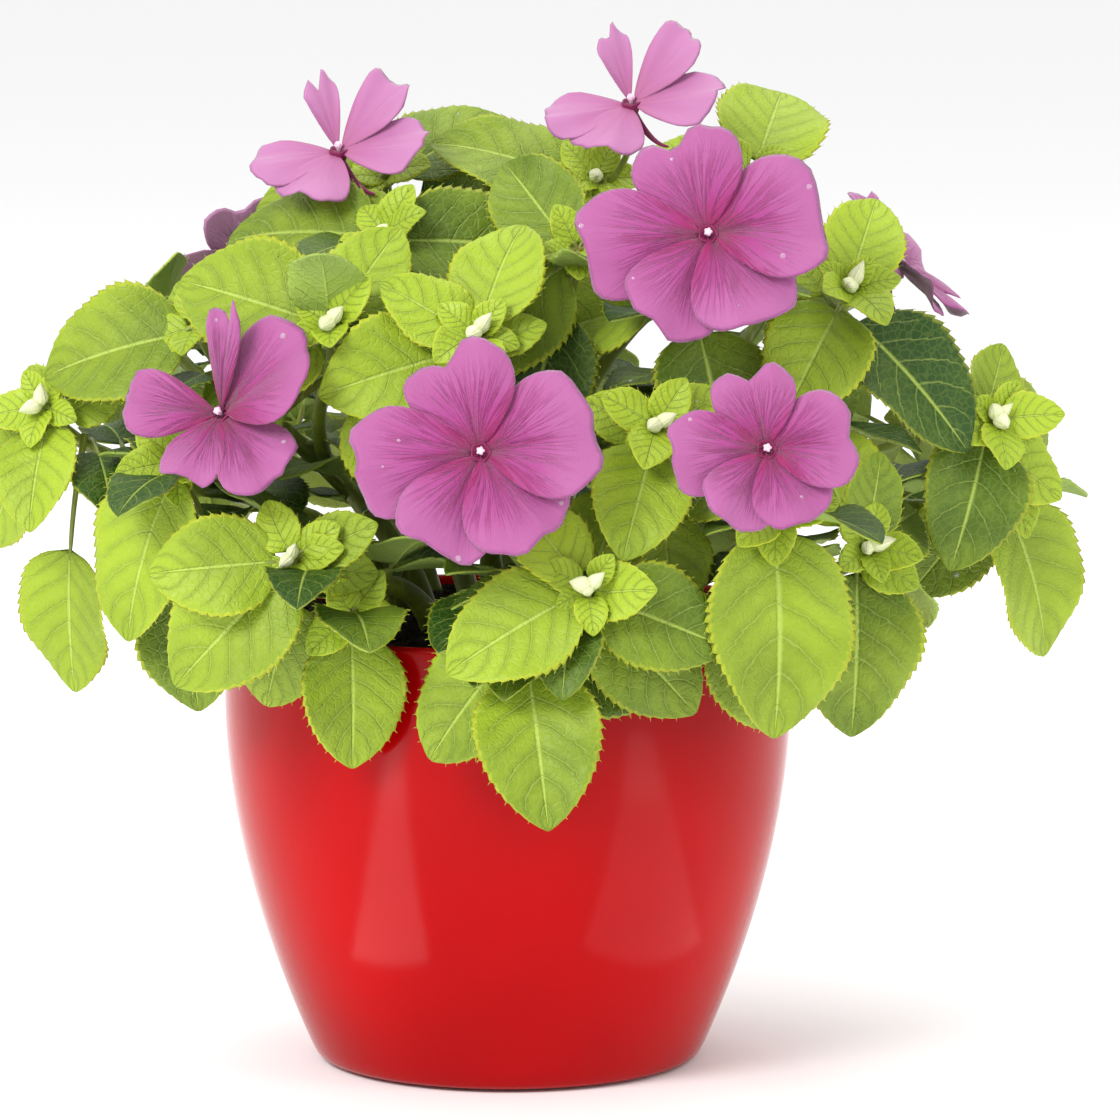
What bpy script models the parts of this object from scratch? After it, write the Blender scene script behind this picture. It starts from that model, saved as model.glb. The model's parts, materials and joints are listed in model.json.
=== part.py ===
"""Busy lizzie in a glossy round pot: separate closed solids, in metres, +Z up.

The origin is the middle of the pot's foot, on the surface that the pot stands on. The front of the
plant looks along -Y. All named sizes are millimetres, and MM turns them into metres.
"""

import math
import random
from collections import namedtuple
from functools import partial

import bmesh
import bpy
from mathutils import Matrix, Vector, noise
from mathutils.bvhtree import BVHTree

MM = 0.001

# Pot: a turned shell whose wall swells from a flat foot to an almost upright rim
POT_HEIGHT = 104.0
POT_RIM_RADIUS = 64.8
POT_BELLY_RADIUS = 65.2
POT_BELLY_HEIGHT = 84.0
POT_TAPER = 21.2
POT_TAPER_POWER = 1.83
POT_FOOT_RADIUS = 38.5
POT_WALL = 3.0
POT_FLOOR = 4.0
POT_LIP_ROUND = 1.2
POT_SIDES = 32

# Soil: a low mound that fills the pot to just under the rim
SOIL_GAP = 0.7
SOIL_EDGE_HEIGHT = 98.5
SOIL_CROWN_HEIGHT = 107.0
SOIL_LUMP = 1.6
SOIL_RINGS = 4
SOIL_SIDES = 22

# Stems: fleshy, thick at the soil and thin at the tips
STEM_BASE_RADIUS = 2.7
STEM_TIP_RADIUS = 1.3
STEM_POINTS = 5
STEM_DEPTH = 12.0
STEM_HOLE_GAP = 0.5
BRANCH_ROOT_RADIUS = 1.7

# Leaves: an egg-shaped blade with a toothed edge on a short stalk
LEAF_SIZE = 1.16
LEAF_WIDTH_SHARE = 0.78
LEAF_THICKNESS = 1.1
LEAF_STALK_HALF_WIDTH = 0.75
LONG_STALK = 11.0
STALK_POINTS = 7
LEAF_TEETH = 4
LEAF_LARGE = 34.0
LEAF_TOOTH_DEPTH = 0.09
LEAF_BASE_POWER = 0.52
LEAF_TIP_POWER = 0.80
LEAF_ROOT_SINK = 0.6
LEAF_CLEARANCE = 1.3
LEAF_TRIES = ((0, 0), (8, 0), (-8, 0), (0, 8), (0, -8), (16, 0), (-16, 0), (12, 12), (-12, -12),
              (24, 0), (-24, 0), (0, 16), (0, -16), (20, 16), (-20, -16), (32, 8), (-32, -8),
              (30, -18), (-30, 18), (42, 0), (-42, 0), (16, 26), (-16, -26), (50, 20), (-50, -20))
LEAF_SHRINKS = (1.0, 0.86, 0.72, 0.58)

# Blooms: five notched petals that lap one over the next, a short tube and a thin curved spur
PETAL_THICKNESS = 0.9
PETAL_RINGS = (0.05, 0.60, 1.0)
PETAL_ACROSS = 4
PETAL_NOTCH = 0.15
PETAL_LAP = 11.0
HUB_RADIUS = 2.3
HUB_FRONT = 1.4
HUB_BACK = 4.0
SPUR_LENGTH = 15.0
SPUR_RADIUS = 0.7
EYE_RADIUS = 1.15
EYE_GAP = 0.35
PEDICEL_RADIUS = 0.75
PEDICEL_POINTS = 5

# Buds: pale drops, fused in a small cluster on a short stalk at a shoot's tip
BUD_RADIUS = 1.7
BUD_STRETCH = 1.35
BUD_SEAT_GAP = 0.4
BUD_SINK = 0.6
BUD_STALK = 1.6
BUD_STALK_RADIUS = 0.6

# Inner leaves: older ones lower down each stem, which fill the middle of the plant
INNER_LEAVES = 2
INNER_LENGTH = 30.0
INNER_REACH = 9.0
INNER_FROM = 0.50
INNER_STEP = 0.13

GOLDEN_ANGLE = 137.5

LEAF_GREEN = (0.36, 0.50, 0.09, 1.0)
PETAL_PINK = (0.55, 0.09, 0.32, 1.0)
EYE_WHITE = (0.86, 0.78, 0.86, 1.0)
BUD_CREAM = (0.86, 0.88, 0.52, 1.0)
SOIL_BLACK = (0.02, 0.015, 0.01, 1.0)
POT_RED = (0.60, 0.006, 0.010, 1.0)

# A leaf is (clock, length, reach, lean): the way it points as seen from in front of its shoot, in
# degrees from the top, its blade's length, its stalk's length, and how far it leans to the viewer.
Shoot = namedtuple("Shoot", "tip facing leaves buds")
Stem = namedtuple("Stem", "foot shoots")
Bloom = namedtuple("Bloom", "centre facing roll radius cup stem petals")
Petal = namedtuple("Petal", "clock spread length rise twist", defaults=(0, PETAL_LAP))


def whorl(first, count, length, reach=7, lean=2):
    """Leaves spaced by the golden angle, the first ones small and young."""
    young = 0.62
    return tuple(
        (first + GOLDEN_ANGLE * i, length * (young + (1 - young) * i / max(1, count - 1)),
         reach * (0.5 + i / count), lean + 14 - 24 * i / count)
        for i in range(count))


STEMS = {
    "left_low": Stem((-24, -10), (
        Shoot((-104, -20, 153), (-0.45, -0.80, 0.40),
              ((172, 23, 4, 18), (212, 29, 4, -4), (188, 30, 27, -14), (62, 14, 3, 15), (310, 13, 3, 20)), 2),
        Shoot((-72, -52, 144), (-0.35, -0.85, 0.40),
              ((196, 33, 4, 8), (150, 25, 14, -8), (176, 27, 24, -14), (60, 15, 4, 0)), 1))),
    "left_front": Stem((-17, -30), (
        Shoot((-46, -70, 125), (-0.25, -0.92, 0.30),
              ((258, 25, 5, 14), (222, 31, 4, 0), (62, 15, 3, 12), (96, 13, 3, 20), (200, 24, 9, -16)), 2),
        Shoot((-34, -64, 112), (0.05, -0.96, 0.25), ((178, 26, 5, 0),), 0),)),
    "left_high": Stem((-18, -14), (
        Shoot((-69, -30, 172), (-0.40, -0.80, 0.45),
              ((248, 31, 4, 8), (268, 27, 13, -10), (320, 13, 3, 10), (140, 20, 6, -6)), 0),
        Shoot((-38, -58, 175), (-0.15, -0.85, 0.50),
              ((288, 31, 4, 6), (28, 22, 4, 4), (150, 23, 17, -4), (230, 16, 4, 16)), 2))),
    "top_left": Stem((-9, 4), (
        Shoot((-28, 2, 203), (-0.15, -0.70, 0.70),
              ((38, 29, 5, 4), (262, 24, 4, 8), (72, 24, 8, -14), (150, 18, 4, 8)), 1),
        Shoot((-27, -28, 192), (-0.20, -0.78, 0.60),
              ((278, 33, 4, -4), (84, 29, 4, 0), (236, 26, 6, 6), (320, 16, 3, 10)), 1))),
    "middle": Stem((-3, -16), (
        Shoot((-6, -62, 173), (-0.05, -0.85, 0.52),
              ((12, 25, 4, 12), (300, 20, 3, 16), (248, 29, 4, -2), (70, 12, 3, 22)), 2),
        Shoot((16, -42, 190), (0.05, -0.80, 0.60),
              ((232, 32, 5, -6), (330, 24, 6, -6), (200, 28, 12, -12)), 0))),
    "top": Stem((7, 2), (
        Shoot((20, -8, 203), (0.0, -0.75, 0.66),
              ((292, 30, 6, -6), (250, 28, 5, 6), (215, 20, 5, 14), (345, 16, 4, 10)), 1),
        Shoot((56, -4, 204), (0.25, -0.72, 0.64),
              ((28, 29, 7, 2), (320, 18, 8, -10)), 0))),
    "right_high": Stem((18, -10), (
        Shoot((76, -40, 181), (0.25, -0.80, 0.55),
              ((25, 21, 4, 12), (215, 27, 4, 12), (140, 33, 6, 4), (335, 15, 5, 0)), 3),
        Shoot((41, -44, 180), (0.10, -0.80, 0.60),
              ((170, 32, 8, -4), (280, 26, 10, -12)), 0))),
    "right": Stem((26, -2), (
        Shoot((109, -30, 151), (0.42, -0.82, 0.40),
              ((205, 28, 4, 4), (322, 20, 4, 6), (30, 17, 4, 8), (78, 27, 5, -4), (132, 19, 4, 14)), 3),
        Shoot((112, -8, 134), (0.50, -0.78, 0.35),
              ((158, 33, 6, 0), (222, 24, 5, -8)), 0))),
    "right_front": Stem((24, -26), (
        Shoot((79, -60, 126), (0.30, -0.90, 0.35),
              ((20, 17, 4, 14), (350, 26, 7, 6), (182, 32, 5, -4), (128, 12, 3, 22), (60, 22, 8, -10)), 2),
        Shoot((58, -76, 136), (0.12, -0.92, 0.38),
              ((176, 39, 5, 2), (300, 20, 6, -8)), 0))),
    "front": Stem((5, -40), (
        Shoot((18, -90, 121), (0.05, -0.92, 0.36),
              ((242, 28, 4, 14), (325, 19, 4, 14), (20, 22, 5, 4), (112, 26, 4, 10), (135, 27, 6, -8),
               (92, 15, 3, 24)), 3),
        Shoot((4, -84, 110), (-0.05, -0.95, 0.25),
              ((222, 27, 5, 0), (170, 31, 9, 8), (110, 26, 5, 6)), 0))),
    "front_high": Stem((10, -28), (
        Shoot((33, -72, 154), (0.08, -0.88, 0.46),
              ((195, 25, 5, 6), (172, 22, 16, -6), (60, 14, 3, 12), (300, 13, 3, 12)), 2),
        Shoot((46, -64, 116), (0.20, -0.92, 0.34),
              ((150, 27, 5, -4), (120, 24, 12, 0)), 0))),
    "back_left": Stem((-18, 20), (
        Shoot((-82, 38, 165), (-0.75, 0.45, 0.50), whorl(20, 5, 29), 1),
        Shoot((-52, 82, 138), (-0.45, 0.80, 0.35), whorl(80, 5, 30), 1))),
    "back": Stem((0, 26), (
        Shoot((-8, 62, 187), (-0.10, 0.75, 0.65), whorl(200, 5, 30), 1),
        Shoot((6, 98, 142), (0.0, 0.90, 0.38), whorl(160, 5, 31), 2))),
    "back_right": Stem((20, 18), (
        Shoot((64, 48, 176), (0.60, 0.55, 0.58), whorl(140, 5, 29), 1),
        Shoot((96, 58, 140), (0.70, 0.62, 0.35), whorl(230, 5, 30), 2))),
}

# The same five petals on each bloom: wide open, raised like wings, or half closed. A petal's rise is
# how far it stands up from the bloom's face, in degrees, beyond the bloom's own cup, and its twist
# lifts one side over the next petal.
OPEN_PETALS = (
    Petal(344, 38, 0.97),
    Petal(264, 33, 1.10, -2),
    Petal(206, 34, 0.98),
    Petal(150, 38, 0.97, 3),
    Petal(78, 44, 1.03),
)
WINGED_PETALS = (
    Petal(320, 33, 0.92, 56),
    Petal(48, 26, 1.12, 33, -22),
    Petal(100, 28, 1.10, 8, -30),
    Petal(202, 38, 0.92, -16),
    Petal(252, 27, 1.02, -6, 20),
)
NODDING_PETALS = (
    Petal(4, 17, 1.03, 24),
    Petal(54, 42, 1.12, 8),
    Petal(128, 29, 1.00, -6),
    Petal(188, 30, 0.80, 8),
    Petal(266, 26, 0.96, 14),
)

BLOOMS = {
    "upper_left": Bloom((-38, -12, 210), (-0.05, -0.32, 0.94), 0, 20, 6, "top_left", WINGED_PETALS),
    "top": Bloom((28, -17, 221), (-0.05, -0.32, 0.94), 0, 20, 6, "top", WINGED_PETALS),
    "upper_right": Bloom((44, -72, 196), (0.02, -0.90, 0.42), 0, 26, 8, "right_high", OPEN_PETALS),
    "left": Bloom((-62, -64, 156), (-0.42, -0.72, 0.50), 0, 24, 12, "left_high", NODDING_PETALS),
    "centre": Bloom((-5, -94, 151), (0.0, -0.94, 0.34), 0, 25.5, 8, "middle", OPEN_PETALS),
    "right": Bloom((56, -97, 152), (0.10, -0.94, 0.34), 4, 19.5, 8, "right_front", OPEN_PETALS),
    "far_right": Bloom((88, -6, 184), (0.72, -0.10, 0.60), 30, 21, 22, "right_high", OPEN_PETALS),
    "back_left": Bloom((-62, 58, 178), (-0.55, 0.62, 0.55), 40, 22, 14, "back_left", OPEN_PETALS),
    "back": Bloom((20, 88, 176), (0.15, 0.80, 0.58), 80, 24, 10, "back", OPEN_PETALS),
    "back_low": Bloom((56, 96, 136), (0.42, 0.84, 0.30), 10, 21, 12, "back_right", OPEN_PETALS),
}


def clear_scene():
    for obj in list(bpy.data.objects):
        bpy.data.objects.remove(obj)


def new_collection(name):
    collection = bpy.data.collections.new(name)
    bpy.context.scene.collection.children.link(collection)
    return collection


def principled(name, colour, roughness):
    material = bpy.data.materials.new(name)
    material.use_nodes = True
    shader = material.node_tree.nodes["Principled BSDF"]
    shader.inputs["Base Color"].default_value = colour
    shader.inputs["Roughness"].default_value = roughness
    shader.inputs["Metallic"].default_value = 0.0
    return material


def link_mesh(name, mesh, collection, material=None):
    obj = bpy.data.objects.new(name, mesh)
    collection.objects.link(obj)
    if material:
        mesh.materials.append(material)
    return obj


def evaluated_mesh(obj, weld=True):
    """A plain mesh of the object as its modifiers leave it, with doubled points made one."""
    bpy.context.view_layer.update()
    graph = bpy.context.evaluated_depsgraph_get()
    mesh = bpy.data.meshes.new_from_object(obj.evaluated_get(graph))
    mesh.transform(obj.matrix_world)
    shape = bmesh.new()
    shape.from_mesh(mesh)
    if weld:
        bmesh.ops.remove_doubles(shape, verts=shape.verts, dist=0.00001)
    bmesh.ops.triangulate(shape, faces=shape.faces)
    shape.to_mesh(mesh)
    shape.free()
    return mesh


def unite(obj, others, solver="MANIFOLD"):
    """Joins the other objects to obj with one Boolean union, and removes them."""
    pieces = new_collection(obj.name + "_pieces")
    for other in others:
        for holder in list(other.users_collection):
            holder.objects.unlink(other)
        pieces.objects.link(other)
    union = obj.modifiers.new("union", "BOOLEAN")
    union.operation = "UNION"
    union.operand_type = "COLLECTION"
    union.collection = pieces
    union.solver = solver
    mesh = evaluated_mesh(obj, weld=False)
    obj.modifiers.remove(union)
    material = obj.data.materials[0] if obj.data.materials else None
    obj.data = mesh
    mesh.materials.clear()
    if material:
        mesh.materials.append(material)
    for other in others:
        bpy.data.objects.remove(other)
    bpy.data.collections.remove(pieces)
    return obj


# Pot and soil

def pot_radius(height):
    """The pot's outer radius at a height above the foot."""
    if height >= POT_BELLY_HEIGHT:
        share = (height - POT_BELLY_HEIGHT) / (POT_HEIGHT - POT_BELLY_HEIGHT)
        return POT_BELLY_RADIUS + (POT_RIM_RADIUS - POT_BELLY_RADIUS) * share
    share = (POT_BELLY_HEIGHT - height) / POT_BELLY_HEIGHT
    return POT_BELLY_RADIUS - POT_TAPER * share ** POT_TAPER_POWER


def pot_profile():
    """(radius, height) from the inside's floor, over the lip and down the outside to the foot."""
    inner_heights = (POT_FLOOR + 6, 66, POT_HEIGHT - POT_LIP_ROUND)
    outer_heights = (POT_HEIGHT - POT_LIP_ROUND, 84, 66, 48, 31, 16, 6)
    profile = [(0.0, POT_FLOOR), (POT_FOOT_RADIUS - 2, POT_FLOOR)]
    profile += [(pot_radius(z) - POT_WALL, z) for z in inner_heights]
    profile += [(POT_RIM_RADIUS - POT_WALL + POT_LIP_ROUND, POT_HEIGHT),
                (POT_RIM_RADIUS - POT_LIP_ROUND, POT_HEIGHT)]
    profile += [(pot_radius(z), z) for z in outer_heights]
    profile += [(pot_radius(2.0) - 1.2, 2.2), (POT_FOOT_RADIUS, 0.0), (0.0, 0.0)]
    return profile


def turned(name, profile, sides, collection, material=None):
    """A solid of revolution about Z from a (radius, height) profile in millimetres."""
    shape = bmesh.new()
    points = [shape.verts.new((r * MM, 0, z * MM)) for r, z in profile]
    for a, b in zip(points, points[1:]):
        shape.edges.new((a, b))
    mesh = bpy.data.meshes.new(name)
    shape.to_mesh(mesh)
    shape.free()
    obj = link_mesh(name, mesh, collection, material)
    screw = obj.modifiers.new("turn", "SCREW")
    screw.steps = sides
    screw.render_steps = sides
    screw.use_merge_vertices = True
    screw.merge_threshold = 0.00001
    screw.use_smooth_shade = True
    return obj


def soil_height(x, y):
    """The mound's height at a place, with its lumps."""
    share = min(1.0, math.hypot(x, y) / (POT_RIM_RADIUS - POT_WALL))
    mound = SOIL_CROWN_HEIGHT + (SOIL_EDGE_HEIGHT - SOIL_CROWN_HEIGHT) * share ** 2
    lumps = noise.noise(Vector((x, y, 0)) * 0.11) * SOIL_LUMP * (1 - share ** 4)
    return mound + lumps


def soil_profile():
    inner = POT_WALL + SOIL_GAP
    top_radius = pot_radius(SOIL_EDGE_HEIGHT) - inner
    top = [(top_radius * i / SOIL_RINGS, SOIL_EDGE_HEIGHT) for i in range(SOIL_RINGS + 1)]
    side = [(pot_radius(z) - inner, z) for z in (66, POT_FLOOR + 6.5)]
    floor = [(POT_FOOT_RADIUS - 2 - SOIL_GAP, POT_FLOOR + SOIL_GAP), (0.0, POT_FLOOR + SOIL_GAP)]
    return top + side + floor


def make_soil(collection, material, paths):
    """The soil with its lumpy top and a plain hole for each stem."""
    turned_soil = turned("soil", soil_profile(), SOIL_SIDES, collection, material)
    mesh = evaluated_mesh(turned_soil)
    turned_soil.modifiers.clear()
    for vertex in mesh.vertices:
        x, y, z = vertex.co / MM
        if z > SOIL_EDGE_HEIGHT - 1:
            vertex.co.z = soil_height(x, y) * MM
    turned_soil.data = mesh
    cutters = new_collection("stem_holes")
    for name, (foot, _, _) in paths.items():
        x, y = foot
        bpy.ops.mesh.primitive_cylinder_add(
            vertices=6, radius=(STEM_BASE_RADIUS + STEM_HOLE_GAP) / math.cos(math.pi / 6) * MM,
            depth=2 * STEM_DEPTH * MM, location=(x * MM, y * MM, soil_height(x, y) * MM))
        cutter = bpy.context.active_object
        cutter.name = "hole_" + name
        cutter.hide_render = True
        cutter.display_type = "WIRE"
        bpy.context.collection.objects.unlink(cutter)
        cutters.objects.link(cutter)
    cut = turned_soil.modifiers.new("holes", "BOOLEAN")
    cut.operation = "DIFFERENCE"
    cut.operand_type = "COLLECTION"
    cut.collection = cutters
    cut.solver = "EXACT"
    return turned_soil


# Stems

def bezier(a, b, c, d, t):
    s = 1 - t
    return a * s ** 3 + b * 3 * s * s * t + c * 3 * s * t * t + d * t ** 3


def stem_path(start, rise, tip, facing, count=STEM_POINTS):
    """Points in millimetres from start to tip, leaving along rise and arriving along facing."""
    span = (tip - start).length
    leave = start + rise * span * 0.38
    arrive = tip - (facing * 0.55 + Vector((0, 0, 0.45))).normalized() * span * 0.30
    return [bezier(start, leave, arrive, tip, i / (count - 1)) for i in range(count)]


def point_along(path, share):
    place = share * (len(path) - 1)
    i = min(int(place), len(path) - 2)
    return path[i].lerp(path[i + 1], place - i)


def tube(name, path, start_radius, end_radius, collection, sides_level=1):
    """A tapered round rod along the points, as a closed mesh."""
    curve = bpy.data.curves.new(name, "CURVE")
    curve.dimensions = "3D"
    curve.bevel_depth = MM
    curve.bevel_resolution = sides_level
    curve.use_fill_caps = True
    spline = curve.splines.new("POLY")
    spline.points.add(len(path) - 1)
    for i, place in enumerate(path):
        spline.points[i].co = (*(place * MM), 1)
        spline.points[i].radius = start_radius + (end_radius - start_radius) * i / (len(path) - 1)
    guide = bpy.data.objects.new(name + "_guide", curve)
    collection.objects.link(guide)
    mesh = evaluated_mesh(guide)
    bpy.data.objects.remove(guide)
    return link_mesh(name, mesh, collection)


def ball(name, centre, radius, collection, rings=3, around=5, axis=Vector((0, 0, 1)), stretch=1.0):
    mesh = bpy.data.meshes.new(name)
    shape = bmesh.new()
    turn = axis.to_track_quat("Z", "Y").to_matrix().to_4x4()
    size = Matrix.Diagonal((radius * MM, radius * MM, radius * stretch * MM, 1))
    bmesh.ops.create_uvsphere(
        shape, u_segments=around, v_segments=rings, radius=1,
        matrix=Matrix.Translation(centre * MM) @ turn @ size)
    bmesh.ops.triangulate(shape, faces=shape.faces)
    shape.to_mesh(mesh)
    shape.free()
    return link_mesh(name, mesh, collection)


def stem_paths():
    """For each stem its foot, its shoots' paths and their start radii, all in millimetres."""
    found = {}
    for name, stem in STEMS.items():
        x, y = stem.foot
        ground = Vector((x, y, soil_height(x, y)))
        main = stem.shoots[0]
        outward = Vector((x, y, 0)).normalized()
        rise = (Vector((0, 0, 1)) + outward * 0.35).normalized()
        facing = Vector(main.facing).normalized()
        above = stem_path(ground, rise, Vector(main.tip), facing)
        paths = [[ground - Vector((0, 0, STEM_DEPTH - 1.5))] + above]
        radii = [STEM_BASE_RADIUS]
        for shoot in stem.shoots[1:]:
            tip = Vector(shoot.tip)
            start = point_along(above, 0.42)
            ahead = (point_along(above, 0.5) - start).normalized()
            rise = (ahead + (tip - start).normalized()).normalized()
            paths.append(stem_path(start, rise, tip, Vector(shoot.facing).normalized(), 5))
            radii.append(BRANCH_ROOT_RADIUS)
        found[name] = (stem.foot, paths, radii)
    return found


# Leaves

class LeafPlan:
    """Where one leaf grows: its root, the way it sets off, its upper side and its bend."""

    def __init__(self, name, root, out, face, length, reach, bend):
        self.name = name
        self.root = root
        self.out = out
        self.face = face
        self.length = length
        self.reach = reach
        self.bend = bend

    def frame_at(self, along):
        """The centre line's place, direction and upper side at a distance along it."""
        turn = self.bend * along / (self.length + self.reach)
        ratio = (self.length + self.reach) / self.bend
        place = self.root + self.out * ratio * math.sin(turn) - self.face * ratio * (1 - math.cos(turn))
        ahead = self.out * math.cos(turn) - self.face * math.sin(turn)
        upper = self.face * math.cos(turn) + self.out * math.sin(turn)
        return place, ahead, upper


def blade_half_width(share, length):
    """The leaf blade's half width at a share of its length, before its teeth."""
    a, b = LEAF_BASE_POWER, LEAF_TIP_POWER
    top = (a / (a + b)) ** a * (b / (a + b)) ** b
    return 0.5 * LEAF_WIDTH_SHARE * length * share ** a * (1 - share) ** b / top


def leaf_rows(plan, teeth):
    """(distance along, half width) for each row of points from the root to the tip."""
    rows = [(0.0, LEAF_STALK_HALF_WIDTH), (plan.reach, LEAF_STALK_HALF_WIDTH)]
    if plan.reach > LONG_STALK:
        rows.insert(1, (plan.reach / 2, LEAF_STALK_HALF_WIDTH))
    steps = 2 * teeth
    for i in range(1, steps):
        share = (i / steps) ** 0.9
        tooth = 1 + LEAF_TOOTH_DEPTH * (1 if i % 2 else -1)
        rows.append((plan.reach + plan.length * share, blade_half_width(share, plan.length) * tooth))
    rows.append((plan.reach + plan.length, 0.0))
    return rows


def leaf_shape(plan, teeth, thicken=0.0):
    """Vertices and faces of a closed leaf: two skins that meet along its edge."""
    rows = leaf_rows(plan, teeth)
    flutter = random.Random(plan.name).uniform(-0.35, 0.35)
    points, top, bottom = [], [], []
    for i, (along, half) in enumerate(rows):
        place, ahead, upper = plan.frame_at(along)
        side = ahead.cross(upper)
        share = max(0.0, (along - plan.reach) / plan.length)
        cup = half * (0.16 + 0.10 * math.sin(5 * share + flutter * 9))
        half += thicken if i else 0
        if i == len(rows) - 1:
            points.append(place + ahead * thicken)
            top.append([len(points) - 1] * 3)
            bottom.append([len(points) - 1] * 3)
            continue
        thick = LEAF_THICKNESS / 2 + thicken * 0.6
        left = place - side * half + upper * cup * (1 + flutter)
        right = place + side * half + upper * cup * (1 - flutter)
        start = len(points)
        if i == 0:
            points += [left, place, right]
            top.append([start, start + 1, start + 2])
            bottom.append([start, start + 1, start + 2])
        else:
            points += [left, place + upper * thick, right, place - upper * thick]
            top.append([start, start + 1, start + 2])
            bottom.append([start, start + 3, start + 2])
    faces = []
    for i in range(len(rows) - 1):
        for j in range(2):
            for rows_of, flip in ((top, False), (bottom, True)):
                a, b = rows_of[i][j], rows_of[i][j + 1]
                c, d = rows_of[i + 1][j + 1], rows_of[i + 1][j]
                mirror = j == 1
                split = ((a, b, c), (a, c, d)) if mirror else ((a, b, d), (b, c, d))
                for face in split:
                    if len(set(face)) == 3:
                        faces.append(face[::-1] if flip else face)
    return points, faces


def shape_tree(points, faces):
    return BVHTree.FromPolygons([tuple(p) for p in points], faces)


def bounds_of(points, margin=0.0):
    low = [min(p[i] for p in points) - margin for i in range(3)]
    high = [max(p[i] for p in points) + margin for i in range(3)]
    return low, high


def boxes_meet(a, b):
    return all(a[0][i] <= b[1][i] and b[0][i] <= a[1][i] for i in range(3))


class Crowd:
    """What stands already, so that the next piece can be bent clear of it."""

    def __init__(self):
        self.items = []

    def add(self, owner, points, faces):
        self.items.append((owner, bounds_of(points), shape_tree(points, faces)))

    def meets(self, points, faces, own=(), own_points=None, own_faces=None):
        """True if the piece touches something. Against items of an owner in own, the own_ shape counts."""
        box = bounds_of(points)
        tree = own_tree = None
        for owner, other_box, other_tree in self.items:
            if not boxes_meet(box, other_box):
                continue
            if owner in own:
                if own_points is None:
                    continue
                own_tree = own_tree or shape_tree(own_points, own_faces)
                if own_tree.overlap(other_tree):
                    return True
            else:
                tree = tree or shape_tree(points, faces)
                if tree.overlap(other_tree):
                    return True
        return False


def leaf_plan(name, shoot, path, entry, index, lean_by=0.0, turn_by=0.0, scale=1.0):
    """The plan of a shoot's leaf, with the bend that its weight gives it."""
    clock, length, reach, lean = entry
    draw = random.Random(name)
    facing = Vector(shoot.facing).normalized()
    right = Vector((0, 0, 1)).cross(facing).normalized()
    upward = facing.cross(right)
    angle = math.radians(clock + turn_by)
    tilt = math.radians(lean + lean_by)
    radial = upward * math.cos(angle) + right * math.sin(angle)
    out = radial * math.cos(tilt) + facing * math.sin(tilt)
    face = facing * math.cos(tilt) - radial * math.sin(tilt)
    roll = Matrix.Rotation(math.radians(draw.uniform(-14, 14)), 3, out)
    face = roll @ face
    back = 1.0 - 0.10 * min(1.0, reach / 30) - 0.012 * index
    root = point_along(path, back) - out * LEAF_ROOT_SINK
    bend = math.radians(draw.uniform(12, 28) + (12 if length > 20 else 6))
    length *= LEAF_SIZE * scale
    return LeafPlan(name, root, out, face, length, reach * (0.5 + 0.5 * scale), bend)


def inner_plan(name, path, index, outward, lean_by=0.0, turn_by=0.0, scale=1.0):
    """The plan of an older leaf on the stem's side, held out level and drooping at its tip."""
    draw = random.Random(name)
    along = INNER_FROM + INNER_STEP * index
    angle = math.radians(GOLDEN_ANGLE * index + draw.uniform(-30, 30) + turn_by * 2) + outward
    level = Vector((math.cos(angle), math.sin(angle), 0))
    tilt = math.radians(24 + draw.uniform(-12, 12) + lean_by)
    out = level * math.cos(tilt) + Vector((0, 0, math.sin(tilt)))
    face = Vector((0, 0, math.cos(tilt))) - level * math.sin(tilt)
    length = INNER_LENGTH * draw.uniform(0.8, 1.12) * scale
    bend = math.radians(draw.uniform(35, 60))
    return LeafPlan(name, point_along(path, along) - out * LEAF_ROOT_SINK, out, face, length,
                    INNER_REACH * scale, bend)


def teeth_for(length):
    """Teeth on each side of a leaf of this length."""
    return LEAF_TEETH if length > LEAF_LARGE else LEAF_TEETH - 1


def place_leaf(planned, owner, crowd):
    """The leaf's plan, leant and turned until it is clear of what stands already, or None.

    planned makes the plan from a lean, a turn and a scale.
    """
    for scale in LEAF_SHRINKS:
        for lean_by, turn_by in LEAF_TRIES:
            plan = planned(lean_by, turn_by, scale)
            teeth = teeth_for(plan.length)
            points, faces = leaf_shape(plan, teeth, LEAF_CLEARANCE)
            if min(p.z for p in points) < 8:
                continue
            blade = blade_part(points, faces)
            if not crowd.meets(points, faces, (owner, owner + "_stem"), points, blade):
                crowd.add(owner, *leaf_shape(plan, teeth))
                return plan
    return None


def blade_part(points, faces):
    """The faces past the stalk, which leaves of one shoot keep clear of each other too."""
    return [f for f in faces if min(f) >= STALK_POINTS]


def leaf_object(plan, collection):
    points, faces = leaf_shape(plan, teeth_for(plan.length))
    mesh = bpy.data.meshes.new(plan.name)
    mesh.from_pydata([p * MM for p in points], [], faces)
    return link_mesh(plan.name, mesh, collection)


# Blooms

class BloomFrame:
    """A bloom's axes: facing is the way it looks, up and right are its picture plane."""

    def __init__(self, bloom):
        self.centre = Vector(bloom.centre)
        self.facing = Vector(bloom.facing).normalized()
        right = Vector((0, 0, 1)).cross(self.facing).normalized()
        upward = self.facing.cross(right)
        roll = Matrix.Rotation(math.radians(-bloom.roll), 3, self.facing)
        self.right = roll @ right
        self.up = roll @ upward

    def at(self, clock, radius, height):
        angle = math.radians(clock)
        flat = self.up * math.cos(angle) + self.right * math.sin(angle)
        return self.centre + flat * radius + self.facing * height


def petal_reach(across):
    """A petal's length at a place across it: a notch in the middle and rounded shoulders."""
    notch = PETAL_NOTCH * math.exp(-(across / 0.3) ** 2)
    return 1 - notch - 0.24 * abs(across) ** 3


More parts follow.
